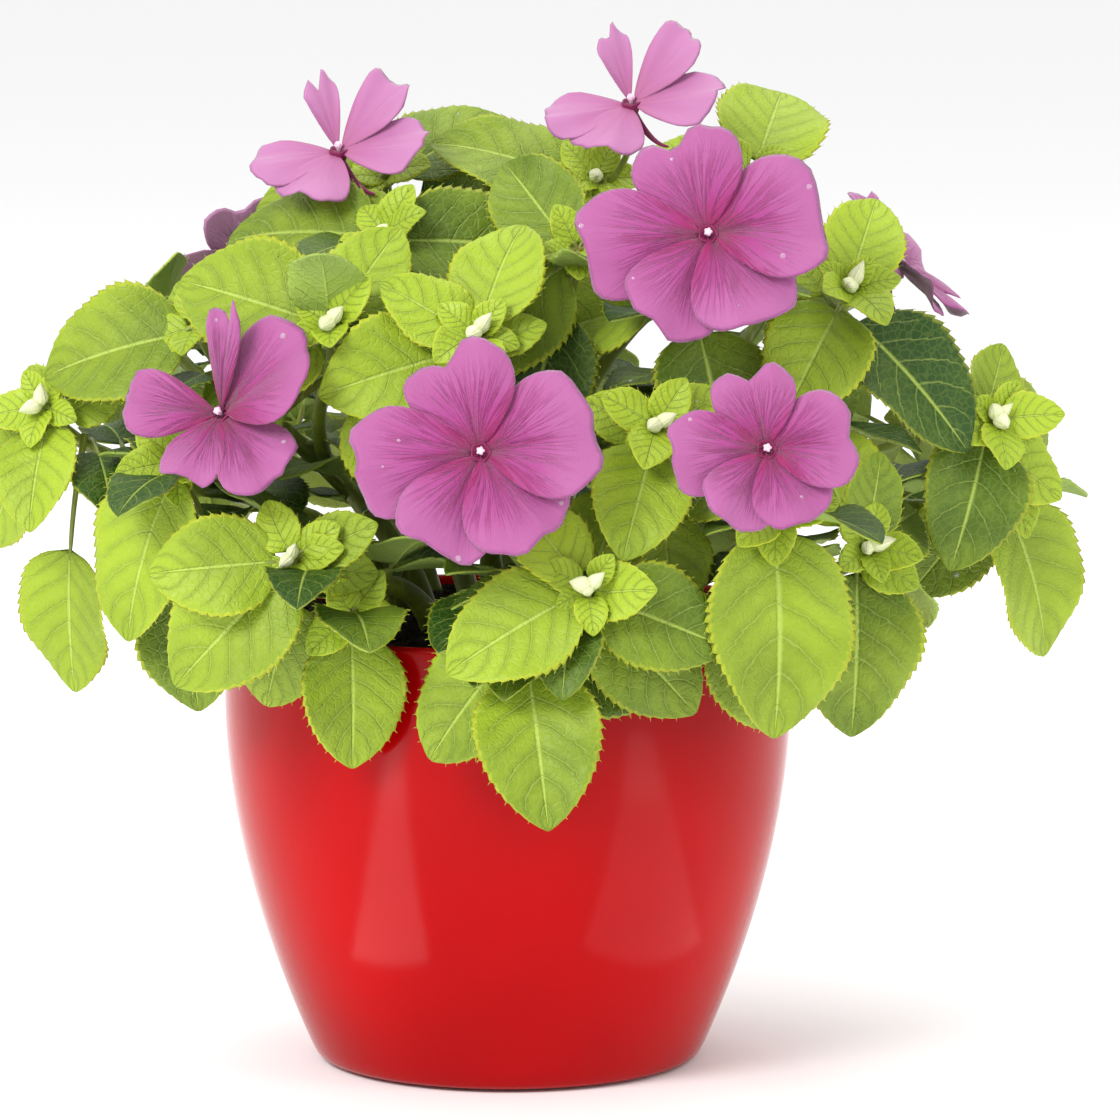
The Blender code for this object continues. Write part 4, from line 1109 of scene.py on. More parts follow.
def leaf_blade(colours):
    look = Look("leaf_blade", {"Specular IOR Level": 0.26})
    place = look.place()
    across, along = look.pattern()
    tone, under, phase = look.traits()
    aside = abs(across * 2.0 - 1.0)
    wobble = look.noise(place, 160.0, 2.0) - 0.5
    rows = (along - aside ** VEIN_SWEEP_POWER * VEIN_SWEEP) * VEIN_PAIRS + wobble * 0.35
    near_vein = rows.from_nearest_whole()
    vein = (1.0 - near_vein.fade(0.01, 0.07)) * (1.0 - aside.fade(0.70, 0.95))
    shade_by_vein = (1.0 - near_vein.fade(0.04, 0.36)) * (1.0 - aside.fade(0.6, 0.95))
    midrib = 1.0 - aside.fade(0.010, 0.060)
    margin = aside.fade(0.90, 1.0)
    net = 1.0 - look.cells(place, 560.0).fade(0.02, 0.16)
    cloud = look.noise(place, 60.0, 3.0)
    patch = look.noise(place, 24.0, 2.0)
    speck = look.noise(place, 2300.0, 2.0)
    # How dark the green is: the leaf's tone, which is partly painted shade on the inner and shade leaves,
    # with random clouds and patches
    depth = (tone + (cloud - 0.5) * 0.55 + (patch - 0.5) * 0.7 + (phase - 0.5) * 0.2).fade(-0.05, 1.05)
    green = look.mix(depth, opaque(colours.leaf_light), opaque(colours.leaf_dark))
    green = look.mix(shade_by_vein * (0.08 + tone * 0.26), green, opaque(colours.leaf_dark, 0.9))
    green = look.mix(vein * 0.30 + net * 0.08, green, opaque(colours.leaf_vein))
    green = look.mix(midrib * 0.65, green, opaque(colours.leaf_vein, 1.08))
    green = look.mix(margin * (0.85 - tone * 0.45), green, opaque(colours.leaf_edge))
    green = look.mix(speck.fade(0.66, 0.80) * 0.14, green, opaque(colours.leaf_edge))
    pale = look.mix(vein * 0.35 + midrib * 0.6, opaque(colours.leaf_under),
                    opaque(colours.leaf_vein, 1.2))
    pale = look.mix(cloud.fade(0.3, 0.8) * 0.4, pale, opaque(colours.leaf_light))
    colour = look.mix(under * 0.85, green, pale)
    height = cloud * 0.5 - vein * 0.35 - midrib * 0.6 - net * 0.16 + speck * 0.10
    height = height * (1.0 - under * 2.0)
    return look.finish(colour, 0.33 + under * 0.2 + speck * 0.16 + cloud * 0.10, height, 0.0005)


def stem_skin(colours):
    look = Look("stem_skin", {"Specular IOR Level": 0.5})
    place = look.place()
    flush = look.noise(place, 60.0, 3.0)
    drawn_out = look.node("ShaderNodeMapping", {"Vector": place, "Scale": (900, 900, 90)})
    streak = look.noise(drawn_out.outputs[0], 1.0, 2.0)
    colour = look.mix(flush.fade(0.35, 0.7), opaque(colours.stem), opaque(colours.stem, 0.62))
    colour = look.mix(flush.fade(0.60, 0.80) * 0.45, colour, (0.30, 0.10, 0.04, 1.0))
    colour = look.mix(streak.fade(0.5, 0.8) * 0.4, colour, opaque(colours.leaf_vein))
    return look.finish(colour, 0.30 + streak * 0.2, streak + flush * 0.5, 0.0002)


def petal_face(colours):
    look = Look("petal_face", {
        "Sheen Weight": 0.25, "Sheen Roughness": 0.4, "Specular IOR Level": 0.25})
    place = look.place()
    across, along = look.pattern()
    tone, under, phase = look.traits()
    aside = abs(across * 2.0 - 1.0)
    sweep = look.noise(look.vector(across * 26.0, along * 1.3, phase * 40.0), 1.0, 3.0, 0.6)
    veins = (1.0 - abs(sweep - 0.5).fade(0.0, 0.06)) * (1.0 - along.fade(0.50, 0.95))
    cloud = look.noise(place, 90.0, 3.0)
    sparkle = look.noise(place, 3200.0, 2.0, 0.6)
    reach = along + (cloud - 0.5) * 0.34 + (sweep - 0.5) * 0.25
    colour = look.mix(reach.fade(0.03, 0.42), opaque(colours.petal_throat), opaque(colours.petal_middle))
    spread = reach.fade(0.22, 0.90) * (0.50 + tone * 0.50)
    colour = look.mix(spread, colour, opaque(colours.petal_edge))
    # Painted shade: darker along the petal's middle crease and at its sides towards its foot, where the
    # petals overlap, added to the veins' own darker colour
    crease = (1.0 - aside.fade(0.0, 0.10)) * (1.0 - along.fade(0.3, 0.85))
    edge_shade = aside.fade(0.70, 1.0) * (1.0 - along.fade(0.5, 0.9))
    veins_and_painted_shade = veins * 0.35 + crease * 0.30 + edge_shade * 0.45
    colour = look.mix(veins_and_painted_shade, colour, opaque(colours.petal_throat, 0.9))
    # Painted glints: fine specks lightened towards the pale edge colour
    colour = look.mix(sparkle.fade(0.55, 0.8) * 0.16, colour, opaque(colours.petal_edge, 1.2))
    colour = look.mix(along.fade(0.95, 1.0) * 0.35, colour, opaque(colours.petal_edge, 1.2))
    colour = look.mix(under * 0.85, colour, opaque(colours.petal_under))
    height = (sweep * 0.5 - veins * 0.4 + sparkle * 0.3 + cloud * 0.6) * (1.0 - under * 2.0)
    return look.finish(colour, 0.42 + sparkle * 0.2, height, 0.0004)


def throat(colours):
    look = Look("flower_tube", {"Specular IOR Level": 0.4})
    mottle = look.noise(look.place(), 700.0, 3.0)
    colour = look.mix(mottle, opaque(colours.petal_throat, 0.45), opaque(colours.petal_throat, 0.9))
    return look.finish(colour, 0.45 + mottle * 0.1, mottle, 0.0002)


def stamen_head(colours):
    look = Look("stamen_head", {"Specular IOR Level": 0.45})
    grain = look.noise(look.place(), 1900.0, 3.0)
    colour = look.mix(grain.fade(0.35, 0.7), opaque(colours.eye), (0.80, 0.42, 0.62, 1.0))
    return look.finish(colour, 0.5 + grain * 0.2, grain, 0.0003)


def bud_skin(colours):
    look = Look("bud_skin", {"Specular IOR Level": 0.45})
    across, along = look.pattern()
    mottle = look.noise(look.place(), 500.0, 3.0)
    colour = look.mix(along.fade(0.05, 0.55), opaque(colours.bud_foot), opaque(colours.bud_tip))
    colour = look.mix(mottle.fade(0.5, 0.8) * 0.4, colour, opaque(colours.leaf_vein))
    ridge = (across * 10.0).from_nearest_whole()
    return look.finish(colour, 0.38 + mottle * 0.15, ridge + mottle * 0.4, 0.0002)


def bristle_tip(colours):
    look = Look("bristle_tip", {"Specular IOR Level": 0.4})
    grain = look.noise(look.place(), 800.0, 2.0)
    colour = look.mix(grain, opaque(colours.leaf_edge, 0.9), opaque(colours.leaf_vein, 1.3))
    return look.finish(colour, 0.4 + grain * 0.1)


def water_drop():
    # The drop's pale base colour, at a low alpha, is a painted highlight that stands in for the light a
    # clear drop catches
    look = Look("water_drop", {"Base Color": (0.80, 0.76, 0.80, 1.0), "Specular IOR Level": 0.8})
    ripple = look.noise(look.place(), 900.0, 1.0)
    look.feed(look.shader, {"Alpha": 0.12 + ripple * 0.20})
    return look.finish(roughness=0.03 + ripple * 0.04)


def studio_floor(colours):
    look = Look("studio_floor", {"Specular IOR Level": 0.15})
    cloud = look.noise(look.place(), 1.5, 2.0)
    colour = look.mix(cloud, opaque(colours.floor, 0.995), opaque(colours.floor))
    return look.finish(colour, 0.85 + cloud * 0.05)


# Meshes

class Skin:
    """A piece's points and faces, with pattern coordinates and traits for each corner."""

    def __init__(self):
        self.points = []
        self.faces = []
        self.uvs = []
        self.traits = []

    def point(self, place):
        """Adds a point, given in millimetres, and returns its number."""
        self.points.append(tuple(place * MM))
        return len(self.points) - 1

    def face(self, corners, uvs, traits):
        """Adds a face, less the corners that fall together."""
        kept = [i for i in range(len(corners)) if corners[i] != corners[i - 1]]
        if len(kept) < 3:
            return
        self.faces.append([corners[i] for i in kept])
        self.uvs += [uvs[i] for i in kept]
        self.traits += [traits] * len(kept)

    def quads(self, grid, uvs, traits, flip=False):
        """Faces between the rows of a grid of point numbers."""
        for i in range(len(grid) - 1):
            for j in range(len(grid[i]) - 1):
                places = [(i, j), (i, j + 1), (i + 1, j + 1), (i + 1, j)]
                if flip:
                    places.reverse()
                self.face([grid[a][b] for a, b in places], [uvs[a][b] for a, b in places], traits)

    def sheet(self, rows, uvs, tone, pale, phase):
        """Two skins over rows of (upper, lower) places. They meet where there is no lower place, and a
        row keeps its last point where there is neither."""
        top, bottom = [], []
        for row in rows:
            top_row, bottom_row = [], []
            for above, below in row:
                top_row.append(top_row[-1] if above is None else self.point(above))
                bottom_row.append(top_row[-1] if below is None else self.point(below))
            top.append(top_row)
            bottom.append(bottom_row)
        self.quads(top, uvs, (tone, pale, phase))
        self.quads(bottom, uvs, (tone, 1.0, phase), flip=True)

    def to_object(self, name, material):
        mesh = bpy.data.meshes.new(name)
        mesh.from_pydata(self.points, [], self.faces)
        layer = mesh.uv_layers.new(name="pattern")
        layer.data.foreach_set("uv", np.array(self.uvs, np.float32).ravel())
        traits = mesh.color_attributes.new(name="traits", type="FLOAT_COLOR", domain="CORNER")
        colours = np.ones((len(self.traits), 4), np.float32)
        colours[:, :3] = self.traits
        traits.data.foreach_set("color", colours.ravel())
        mesh.shade_smooth()
        mesh.materials.append(material)
        obj = bpy.data.objects.new(name, mesh)
        bpy.context.scene.collection.objects.link(obj)
        return obj


def seated(obj, slot, *nodes):
    """The piece rides on the part and stands for its solids, which it hides. The slot is not used."""
    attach(obj, "root")
    if nodes:
        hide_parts(*nodes)
    return obj


def lathe(skin, origin, axis, profile, sides, lobe_depth):
    """A lobed shape about an axis, from (radius, height) points that run up its outer side."""
    turn = axis.to_track_quat("Z", "Y").to_matrix()
    grid, uvs = [], []
    for i, (radius, height) in enumerate(profile):
        if radius == 0:
            row = [skin.point(origin + axis * height)] * (sides + 1)
        else:
            row = []
            for j in range(sides):
                angle = math.tau * j / sides
                r = radius * (1 + lobe_depth * math.cos(LOBES * angle))
                place = Vector((r * math.cos(angle), r * math.sin(angle), height))
                row.append(skin.point(origin + turn @ place))
            row.append(row[0])
        grid.append(row)
        uvs.append([(j / sides, i / (len(profile) - 1)) for j in range(sides + 1)])
    skin.quads(grid, uvs, (0, 0, 0))


# Fine leaves

def blade_lines(length):
    """(share along the blade, tooth height 0 to 1) for each row of a fine leaf."""
    teeth = max(FINE_FEWEST_TEETH, round(length / FINE_TOOTH_LENGTH))
    lines = [((i + step) / teeth, height)
             for i in range(teeth) for step, height in zip(FINE_TOOTH_STEPS, FINE_TOOTH_HEIGHTS)]
    return lines + [(1.0, 0.0)]


def fine_half_width(share, tooth, length):
    """The fine blade's half width, with its teeth fading out at both ends."""
    half = max(LEAF_STALK_HALF_WIDTH * 0.9 * (1 - share), blade_half_width(share, length))
    fade = min(1.0, share * FINE_FOOT_FADE) * min(1.0, (1 - share) * FINE_TIP_FADE)
    return half * (1 + FINE_TOOTH_DEPTH * (tooth - 0.5) * fade)


def blade_place(plan, share, half, across, flutter):
    """The blade's place and upper side, at a share along it and from -1 to 1 across it: cupped, waved
    at its edges, quilted between its veins and grooved along its midrib."""
    place, ahead, upper = plan.frame_at(plan.reach + plan.length * share)
    side = ahead.cross(upper)
    aside = abs(across)
    lean = 1 + flutter if across < 0 else 1 - flutter
    lift = leaf_cup(half, share, flutter) * lean * aside ** FINE_LIFT_POWER
    swing = share * 10.5 + flutter * 20 + (2.1 if across < 0 else 0)
    wave = FINE_WAVE * half * math.sin(swing) * aside ** 3
    rows = (share - VEIN_SWEEP * aside ** VEIN_SWEEP_POWER) * VEIN_PAIRS
    grown = min(1.0, plan.length / FINE_QUILT_LENGTH) ** 2
    quilt = (FINE_QUILT * half * grown * math.sin(math.pi * rows) ** 2 * (1 - across ** 4)
             * min(1.0, aside * 3.5))
    groove = -FINE_GROOVE * half * math.exp(-(across / 0.08) ** 2)
    return place + side * half * across + upper * (lift + wave + quilt + groove), upper


def leaf_tone(plan):
    """0 on the palest young leaf, 1 on the darkest old one. The inner leaves and the small leaves in the
    plant's shade are dark partly for their age and partly as painted shade.
    """
    draw = random.Random(plan.name + "_tone")
    if "_inner_" in plan.name or "_shade_" in plan.name:
        return draw.uniform(*INNER_TONES_WITH_PAINTED_SHADE)
    if "_young_" in plan.name:
        return draw.uniform(*YOUNG_TONES)
    newest, span = TONE_LENGTHS
    start, gain = TONE_RANGE
    age = (plan.length - newest) / span + (TONE_OF_FAR_LEAF if plan.reach > LONG_STALK else 0.0)
    old = TONE_OF_OLD_LEAF if draw.random() < OLD_LEAF_CHANCE else 0.0
    return max(0.0, min(1.0, start + gain * age + old + draw.uniform(*TONE_SPREAD)))


def grow_leaf(skin, plan):
    """Adds one fine leaf: two skins that meet along its toothed edge."""
    flutter = leaf_flutter(plan.name)
    lines = blade_lines(plan.length)
    rows = []
    for share, tooth in lines[:-1]:
        half = fine_half_width(share, tooth, plan.length)
        row = []
        for across in FINE_ACROSS:
            place, upper = blade_place(plan, share, half, across, flutter)
            rib = FINE_RIB * math.exp(-(across / RIB_WIDTH) ** 2) * (1 - share)
            on_edge = abs(across) == 1 or share == 0
            row.append((place, None) if on_edge else
                       (place + upper * FINE_THICKNESS, place - upper * (FINE_THICKNESS + rib)))
        rows.append(row)
    tip = plan.frame_at(plan.reach + plan.length)[0]
    rows.append([(tip, None)] + [(None, None)] * (len(FINE_ACROSS) - 1))
    uvs = [[((across + 1) / 2, share) for across in FINE_ACROSS] for share, _ in lines]
    skin.sheet(rows, uvs, leaf_tone(plan), 0.0, random.Random(plan.name + "_phase").random())


def tooth_tips(plan):
    """(place, direction) of each tooth's bristle on a leaf."""
    flutter = leaf_flutter(plan.name)
    tips = []
    for share, tooth in blade_lines(plan.length):
        if tooth < 1.0 or share > BRISTLE_LAST:
            continue
        half = fine_half_width(share, tooth, plan.length)
        for across in (-1, 1):
            place, _ = blade_place(plan, share, half, across, flutter)
            _, ahead, upper = plan.frame_at(plan.reach + plan.length * share)
            tips.append((place, (ahead + ahead.cross(upper) * across * 0.8 + upper * 0.25).normalized()))
    return tips


# Geometry Nodes

class Growth(Bench):
    """A Geometry Nodes tree with named inputs, run on a plain mesh."""

    def __init__(self, name, sizes):
        self.tree = bpy.data.node_groups.new(name, "GeometryNodeTree")
        faces = self.tree.interface
        faces.new_socket("Geometry", in_out="INPUT", socket_type="NodeSocketGeometry")
        faces.new_socket("Geometry", in_out="OUTPUT", socket_type="NodeSocketGeometry")
        self.identifiers = {}
        for key, (kind, default) in sizes.items():
            socket = faces.new_socket(key, in_out="INPUT", socket_type=kind)
            if default is not None:
                socket.default_value = default
            self.identifiers[key] = socket.identifier
        self.start = self.tree.nodes.new("NodeGroupInput")
        self.end = self.tree.nodes.new("NodeGroupOutput")

    def attribute(self, name, kind):
        """A named attribute of the mesh that the tree runs on."""
        made = self.node("GeometryNodeInputNamedAttribute", {"Name": name}, data_type=kind)
        return made.outputs["Attribute"]

    def close(self, geometry):
        """Ends the tree in real geometry with the piece's material."""
        real = self.node("GeometryNodeRealizeInstances", {"Geometry": geometry})
        smooth = self.node("GeometryNodeSetShadeSmooth", {"Geometry": real.outputs[0]})
        painted = self.node("GeometryNodeSetMaterial", {"Geometry": smooth.outputs[0],
                                                        "Material": self.start.outputs["Material"]})
        self.tree.links.new(painted.outputs[0], self.end.inputs[0])

    def run(self, name, mesh, values):
        """The plain mesh object that the tree makes from a mesh."""
        source = bpy.data.objects.new(name + "_source", mesh)
        bpy.context.scene.collection.objects.link(source)
        modifier = source.modifiers.new("growth", "NODES")
        modifier.node_group = self.tree
        for key, given in values.items():
            modifier[self.identifiers[key]] = given
        bpy.context.view_layer.update()
        graph = bpy.context.evaluated_depsgraph_get()
        made = bpy.data.meshes.new_from_object(source.evaluated_get(graph))
        bpy.data.objects.remove(source)
        made.name = name
        obj = bpy.data.objects.new(name, made)
        bpy.context.scene.collection.objects.link(obj)
        return obj


def rod_tree():
    """Round rods along a mesh's edges, as thick as the girth at each point."""
    growth = Growth("rods", {"Sides": ("NodeSocketInt", 12), "Material": ("NodeSocketMaterial", None)})
    curves = growth.node("GeometryNodeMeshToCurve", {"Mesh": growth.start.outputs["Geometry"]})
    ring = growth.node("GeometryNodeCurvePrimitiveCircle", {"Resolution": growth.start.outputs["Sides"],
                                                            "Radius": 1.0})
    rods = growth.node("GeometryNodeCurveToMesh", {
        "Curve": curves.outputs[0], "Profile Curve": ring.outputs[0], "Fill Caps": True,
        "Scale": growth.attribute("girth", "FLOAT")})
    growth.close(rods.outputs[0])
    return growth


def bristle_tree():
    """A fine spike on each point, along its aim."""
    growth = Growth("bristles", {
        "Length": ("NodeSocketFloat", 0.8 * MM), "Girth": ("NodeSocketFloat", BRISTLE_GIRTH * MM),
        "Seed": ("NodeSocketInt", 5), "Material": ("NodeSocketMaterial", None)})
    given = growth.start.outputs
    spike = growth.node("GeometryNodeMeshCone", {
        "Vertices": 3, "Radius Top": 0.0, "Radius Bottom": given["Girth"], "Depth": given["Length"]})
    turn = growth.node("FunctionNodeAlignRotationToVector", {
        "Vector": growth.attribute("aim", "FLOAT_VECTOR")}, axis="Z")
    size = growth.node("FunctionNodeRandomValue", {
        "Min": 0.6, "Max": 1.25, "Seed": given["Seed"]}, data_type="FLOAT")
    placed = growth.node("GeometryNodeInstanceOnPoints", {
        "Points": given["Geometry"], "Instance": spike.outputs["Mesh"],
        "Rotation": turn.outputs[0], "Scale": live(size.outputs, "Value")})
    growth.close(placed.outputs[0])
    return growth


def strewing_tree(name, lump):
    """Lumps strewn over the faces of a mesh and sized by chance. lump adds the nodes of one lump, and
    returns its geometry, its rotation and its scale."""
    growth = Growth(name, {
        "Density": ("NodeSocketFloat", 1000.0), "Smallest": ("NodeSocketFloat", 0.3 * MM),
        "Largest": ("NodeSocketFloat", 1.0 * MM), "Seed": ("NodeSocketInt", 1),
        "Material": ("NodeSocketMaterial", None)})
    given = growth.start.outputs
    strewn = growth.node("GeometryNodeDistributePointsOnFaces", {
        "Mesh": given["Geometry"], "Density": given["Density"], "Seed": given["Seed"]})
    size = growth.node("FunctionNodeRandomValue", {
        "Min": given["Smallest"], "Max": given["Largest"], "Seed": given["Seed"]}, data_type="FLOAT")
    instance, rotation, scale = lump(growth, strewn, live(size.outputs, "Value"))
    placed = growth.node("GeometryNodeInstanceOnPoints", {
        "Points": strewn.outputs["Points"], "Instance": instance, "Rotation": rotation, "Scale": scale})
    growth.close(placed.outputs[0])
    return growth


def peat_lump(growth, strewn, size):
    """A rough lump of peat, turned any way."""
    ball = growth.node("GeometryNodeMeshIcoSphere", {"Radius": 1.0, "Subdivisions": 2})
    jolt = growth.node("ShaderNodeTexNoise", {"Scale": 1.7})
    centred = growth.node("ShaderNodeVectorMath", {
        0: jolt.outputs["Color"], 1: (0.5, 0.5, 0.5)}, operation="SUBTRACT")
    rough = growth.node("GeometryNodeSetPosition", {
        "Geometry": ball.outputs[0], "Offset": centred.outputs[0]})
    turn = growth.node("FunctionNodeRandomValue", {
        "Max": (math.tau, math.tau, math.tau), "Seed": growth.start.outputs["Seed"]},
                       data_type="FLOAT_VECTOR")
    return rough.outputs[0], live(turn.outputs, "Value"), size


def water_bead(growth, strewn, size):
    """A flattened drop that sits on its face."""
    ball = growth.node("GeometryNodeMeshUVSphere", {"Segments": 12, "Rings": 7, "Radius": 1.0})
    flat = growth.node("ShaderNodeVectorMath", {
        0: (1.0, 1.0, DROP_FLATNESS), "Scale": size}, operation="SCALE")
    return ball.outputs["Mesh"], strewn.outputs["Rotation"], flat.outputs[0]


def line_mesh(name, lines):
    """A mesh of edges along each line of (place, girth), both in millimetres."""
    points, edges, girths = [], [], []
    for line in lines:
        for i, (place, girth) in enumerate(line):
            if i:
                edges.append((len(points) - 1, len(points)))
            points.append(tuple(place * MM))
            girths.append(girth * MM)
    mesh = bpy.data.meshes.new(name)
    mesh.from_pydata(points, edges, [])
    mesh.attributes.new("girth", "FLOAT", "POINT").data.foreach_set("value", girths)
    return mesh


# Stalks

def tapered(path, start, end, tip=0.0):
    """A line whose girth runs from start to end, with a rounded tip of this length."""
    last = len(path) - 1
    line = [(place, start + (end - start) * i / last) for i, place in enumerate(path)]
    if tip:
        ahead = (path[-1] - path[-2]).normalized()
        line += [(path[-1] + ahead * tip * 0.6, end * 0.75), (path[-1] + ahead * tip, end * 0.25)]
    return line


def stalk_lines(name):
    """Every rod of one stem: the stem, its side shoot, leaf stalks, flower stalks and bud stalks."""
    paths, radii = stem_paths(FINE_STEM_POINTS)[name]
    plain = stem_paths()[name][0]
    lines = []
    for path, radius in zip(paths, radii):
        knots = tapered(path, radius, STEM_TIP_RADIUS, STEM_TIP_ROUND)
        joint = len(path) // STEM_POINTS
        lines.append([(place, girth * (STEM_JOINT_SWELL if i % joint == joint - 1 else 1.0))
                      for i, (place, girth) in enumerate(knots)])
    for shoot in STEMS[name].shoots:
        if shoot.buds:
            lines.append(tapered(bud_stalk_path(shoot), BUD_STALK_RADIUS * ROD_FLARE, BUD_STALK_RADIUS))
    for bloom in BLOOMS.values():
        if bloom.stem == name:
            path = pedicel_path(bloom, plain, FINE_PEDICEL_POINTS)
            lines.append(tapered(path, PEDICEL_RADIUS * 1.25, PEDICEL_RADIUS * 0.9))
    furthest, share = STALK_UNDER_BLADE
    for plan in planting()[name]:
        end = plan.reach + min(furthest, plan.length * share)
        path = [plan.frame_at(end * i / STALK_STEPS)[0] for i in range(STALK_STEPS + 1)]
        line = tapered(path, STALK_RADIUS * 1.25, STALK_RADIUS * 0.7)
        lines.append(line[:-1] + [(line[-1][0], line[-1][1] * 0.5)])
    return lines


# Fine petals

def fine_reach(across, notch, phase):
    """The petal's outline: round shoulders, a wavy edge and a notch in its middle."""
    cut = notch * math.exp(-((across - 0.12 + phase * 0.24) / 0.16) ** 2)
    wavy = 1 + 0.022 * math.sin(across * 6.3 + phase * 20) + 0.012 * math.sin(across * 15 + phase * 31)
    return (1 - abs(across) ** 3.0) ** 0.42 * (1 - cut) * wavy


def fine_petal_place(frame_of, bloom, petal, ring, across, phase):
    """A place on the fine petal and how far out it lies, from 0 at the eye to 1 at the edge."""
    standard = petal is bloom.petals[0]
    reach = fine_reach(across, STANDARD_NOTCH if standard else SIDE_NOTCH, phase)
    radius = bloom.radius * petal.length * ring * reach
    out = ring * reach
    foot, edge = FINE_PETAL_OPENING
    spread = petal.spread * FINE_PETAL_SPREAD * (foot + edge * math.sin(math.pi * 0.5 * ring))
    rise = petal_rise(bloom, petal, ring)
    lap = math.tan(math.radians(petal.twist)) * across * out * bloom.radius * FINE_PETAL_LIFT
    ruffle = FINE_PETAL_RUFFLE * bloom.radius * out ** 2 * math.cos(across * RUFFLE_WAVES + petal.clock)
    frill = PETAL_FRILL * bloom.radius * out ** 4 * math.sin(across * 11 + phase * 9)
    pleat = PETAL_PLEAT * bloom.radius * out ** 2 * math.sin(across * 29 + phase * 17)
    depth = STANDARD_CREASE if standard else SIDE_CREASE
    crease = -depth * bloom.radius * math.exp(-(across / 0.13) ** 2) * out * (1.4 - out)
    curl = -PETAL_CURL * bloom.radius * max(0.0, out - 0.75) * 4 * abs(across) ** 0.5 * phase
    height = radius * math.sin(rise) + lap + ruffle + frill + pleat + crease + curl
    return frame_of.at(petal.clock + across * spread, radius * math.cos(rise), height), out


def grow_petal(skin, name, index, bloom, petal):
    """Adds one fine petal: two skins that meet along its edge."""
    frame_of = BloomFrame(bloom)
    draw = random.Random(f"{name}_petal_{index}")
    phase = draw.random()
    winged = bloom.petals is WINGED_PETALS
    tone = draw.uniform(*PETAL_TONES) + (WINGED_TONE if winged else 0.0)
    half = frame_of.facing * FINE_PETAL_THICKNESS
    rows, uvs = [], []
    for i in range(FINE_PETAL_ROWS + 1):
        ring = FINE_PETAL_FOOT + (1 - FINE_PETAL_FOOT) * i / FINE_PETAL_ROWS
        row, uv_row = [], []
        for j in range(FINE_PETAL_COLUMNS + 1):
            across = math.sin(math.pi / 2 * (2 * j / FINE_PETAL_COLUMNS - 1)) * FINE_PETAL_SIDE
            place, out = fine_petal_place(frame_of, bloom, petal, ring, across, phase)
            on_edge = i in (0, FINE_PETAL_ROWS) or j in (0, FINE_PETAL_COLUMNS)
            row.append((place, None) if on_edge else (place + half, place - half))
            uv_row.append(((across + 1) / 2, out))
        rows.append(row)
        uvs.append(uv_row)
    skin.sheet(rows, uvs, tone, WINGED_PALENESS if winged else 0.0, phase)


# Settings

class PlantSizes(bpy.types.PropertyGroup):
    """Sizes that a user would change."""

    rod_sides: bpy.props.IntProperty(
        name="Stalk Sides", description="Sides of each stem and stalk", default=12, min=6, max=24)
    bristle_length: bpy.props.FloatProperty(
        name="Bristle Length", description="Length of the bristle on each leaf tooth",
        default=0.8 * MM, unit="LENGTH")
    crumb_density: bpy.props.FloatProperty(
        name="Crumbs", description="Crumbs of peat on a square metre", default=80000.0)
    crumb_largest: bpy.props.FloatProperty(
        name="Largest Crumb", description="Radius of the largest crumb of peat",
        default=1.3 * MM, unit="LENGTH")
    drop_density: bpy.props.FloatProperty(
        name="Water Drops", description="Drops of water on a square metre of petal", default=4500.0)
    pot_sides: bpy.props.IntProperty(
        name="Pot Sides", description="Steps of the turned pot", default=144, min=32, max=256)


def tint(name, description, default):
    """A colour that the panel shows."""
    return bpy.props.FloatVectorProperty(
        name=name, description=description, subtype="COLOR", default=default)


class PlantColours(bpy.types.PropertyGroup):
    """Colours that a user would change."""

    leaf_light: tint("Young Leaf", "Colour of young leaves", (0.30, 0.41, 0.020))
    # The old leaves' own dark green, also used as painted shade on the inner and shade leaves and beside
    # the veins
    leaf_dark: tint("Old Leaf", "Colour of old leaves", (0.013, 0.050, 0.001))
    leaf_vein: tint("Leaf Vein", "Colour of veins and midribs", (0.36, 0.47, 0.085))
    leaf_edge: tint("Leaf Edge", "Colour of the toothed edge", (0.46, 0.48, 0.025))
    leaf_under: tint("Leaf Underside", "Colour below the leaf", (0.26, 0.37, 0.085))
    stem: tint("Stem", "Colour of stems and stalks", (0.20, 0.25, 0.028))
    petal_throat: tint("Throat", "Colour at the petals' feet", (0.24, 0.006, 0.080))
    petal_middle: tint("Petal", "Colour of the petals' middle", (0.27, 0.024, 0.160))
    petal_edge: tint("Petal Edge", "Colour towards the petals' edge", (0.34, 0.100, 0.255))
    petal_under: tint("Petal Underside", "Colour behind the petals", (0.45, 0.22, 0.38))
    eye: tint("Eye", "Colour of the bloom's eye", (0.72, 0.55, 0.66))
    bud_foot: tint("Bud Foot", "Colour of a bud's foot", (0.36, 0.47, 0.09))
    bud_tip: tint("Bud Tip", "Colour of a bud's tip", (0.66, 0.68, 0.42))
    peat: tint("Peat", "Colour of the peat", (0.012, 0.008, 0.005))
    pot_red: tint("Pot", "Colour of the pot's glaze", (0.350, 0.0003, 0.0015))
    floor: tint("Floor", "Colour of the studio floor", (0.90, 0.90, 0.90))


class PlantSettings(bpy.types.PropertyGroup):
    """Everything that the panel shows."""

    sizes: bpy.props.PointerProperty(type=PlantSizes)
    colours: bpy.props.PointerProperty(type=PlantColours)


def settings():
    return bpy.context.scene.busy_lizzie


# Operators

def pot_profile():
    """(radius, height) of the pot's section: its floor, inner wall, lip, outer wall and foot."""
    half = POT_WALL / 2
    lip = POT_RIM_RADIUS - half
    angles = [math.pi * i / POT_LIP_STEPS for i in range(POT_LIP_STEPS + 1)]
    outset, ring = POT_FOOT_RING
    return ([(0.0, POT_FLOOR), (POT_FOOT_RADIUS - POT_FLOOR_CORNER, POT_FLOOR)]
            + [(pot_radius(z) - POT_WALL, z) for z in POT_INNER_HEIGHTS]
            + [(lip - half * math.cos(a), POT_HEIGHT - half + half * math.sin(a)) for a in angles]
            + [(pot_radius(z), z) for z in POT_OUTER_HEIGHTS]
            + [(pot_radius(z) - inset, z) for z, inset in POT_FOOT_EDGE]
            + [(POT_FOOT_RADIUS + outset, ring), (POT_FOOT_RADIUS, 0.0), (0.0, 0.0)])


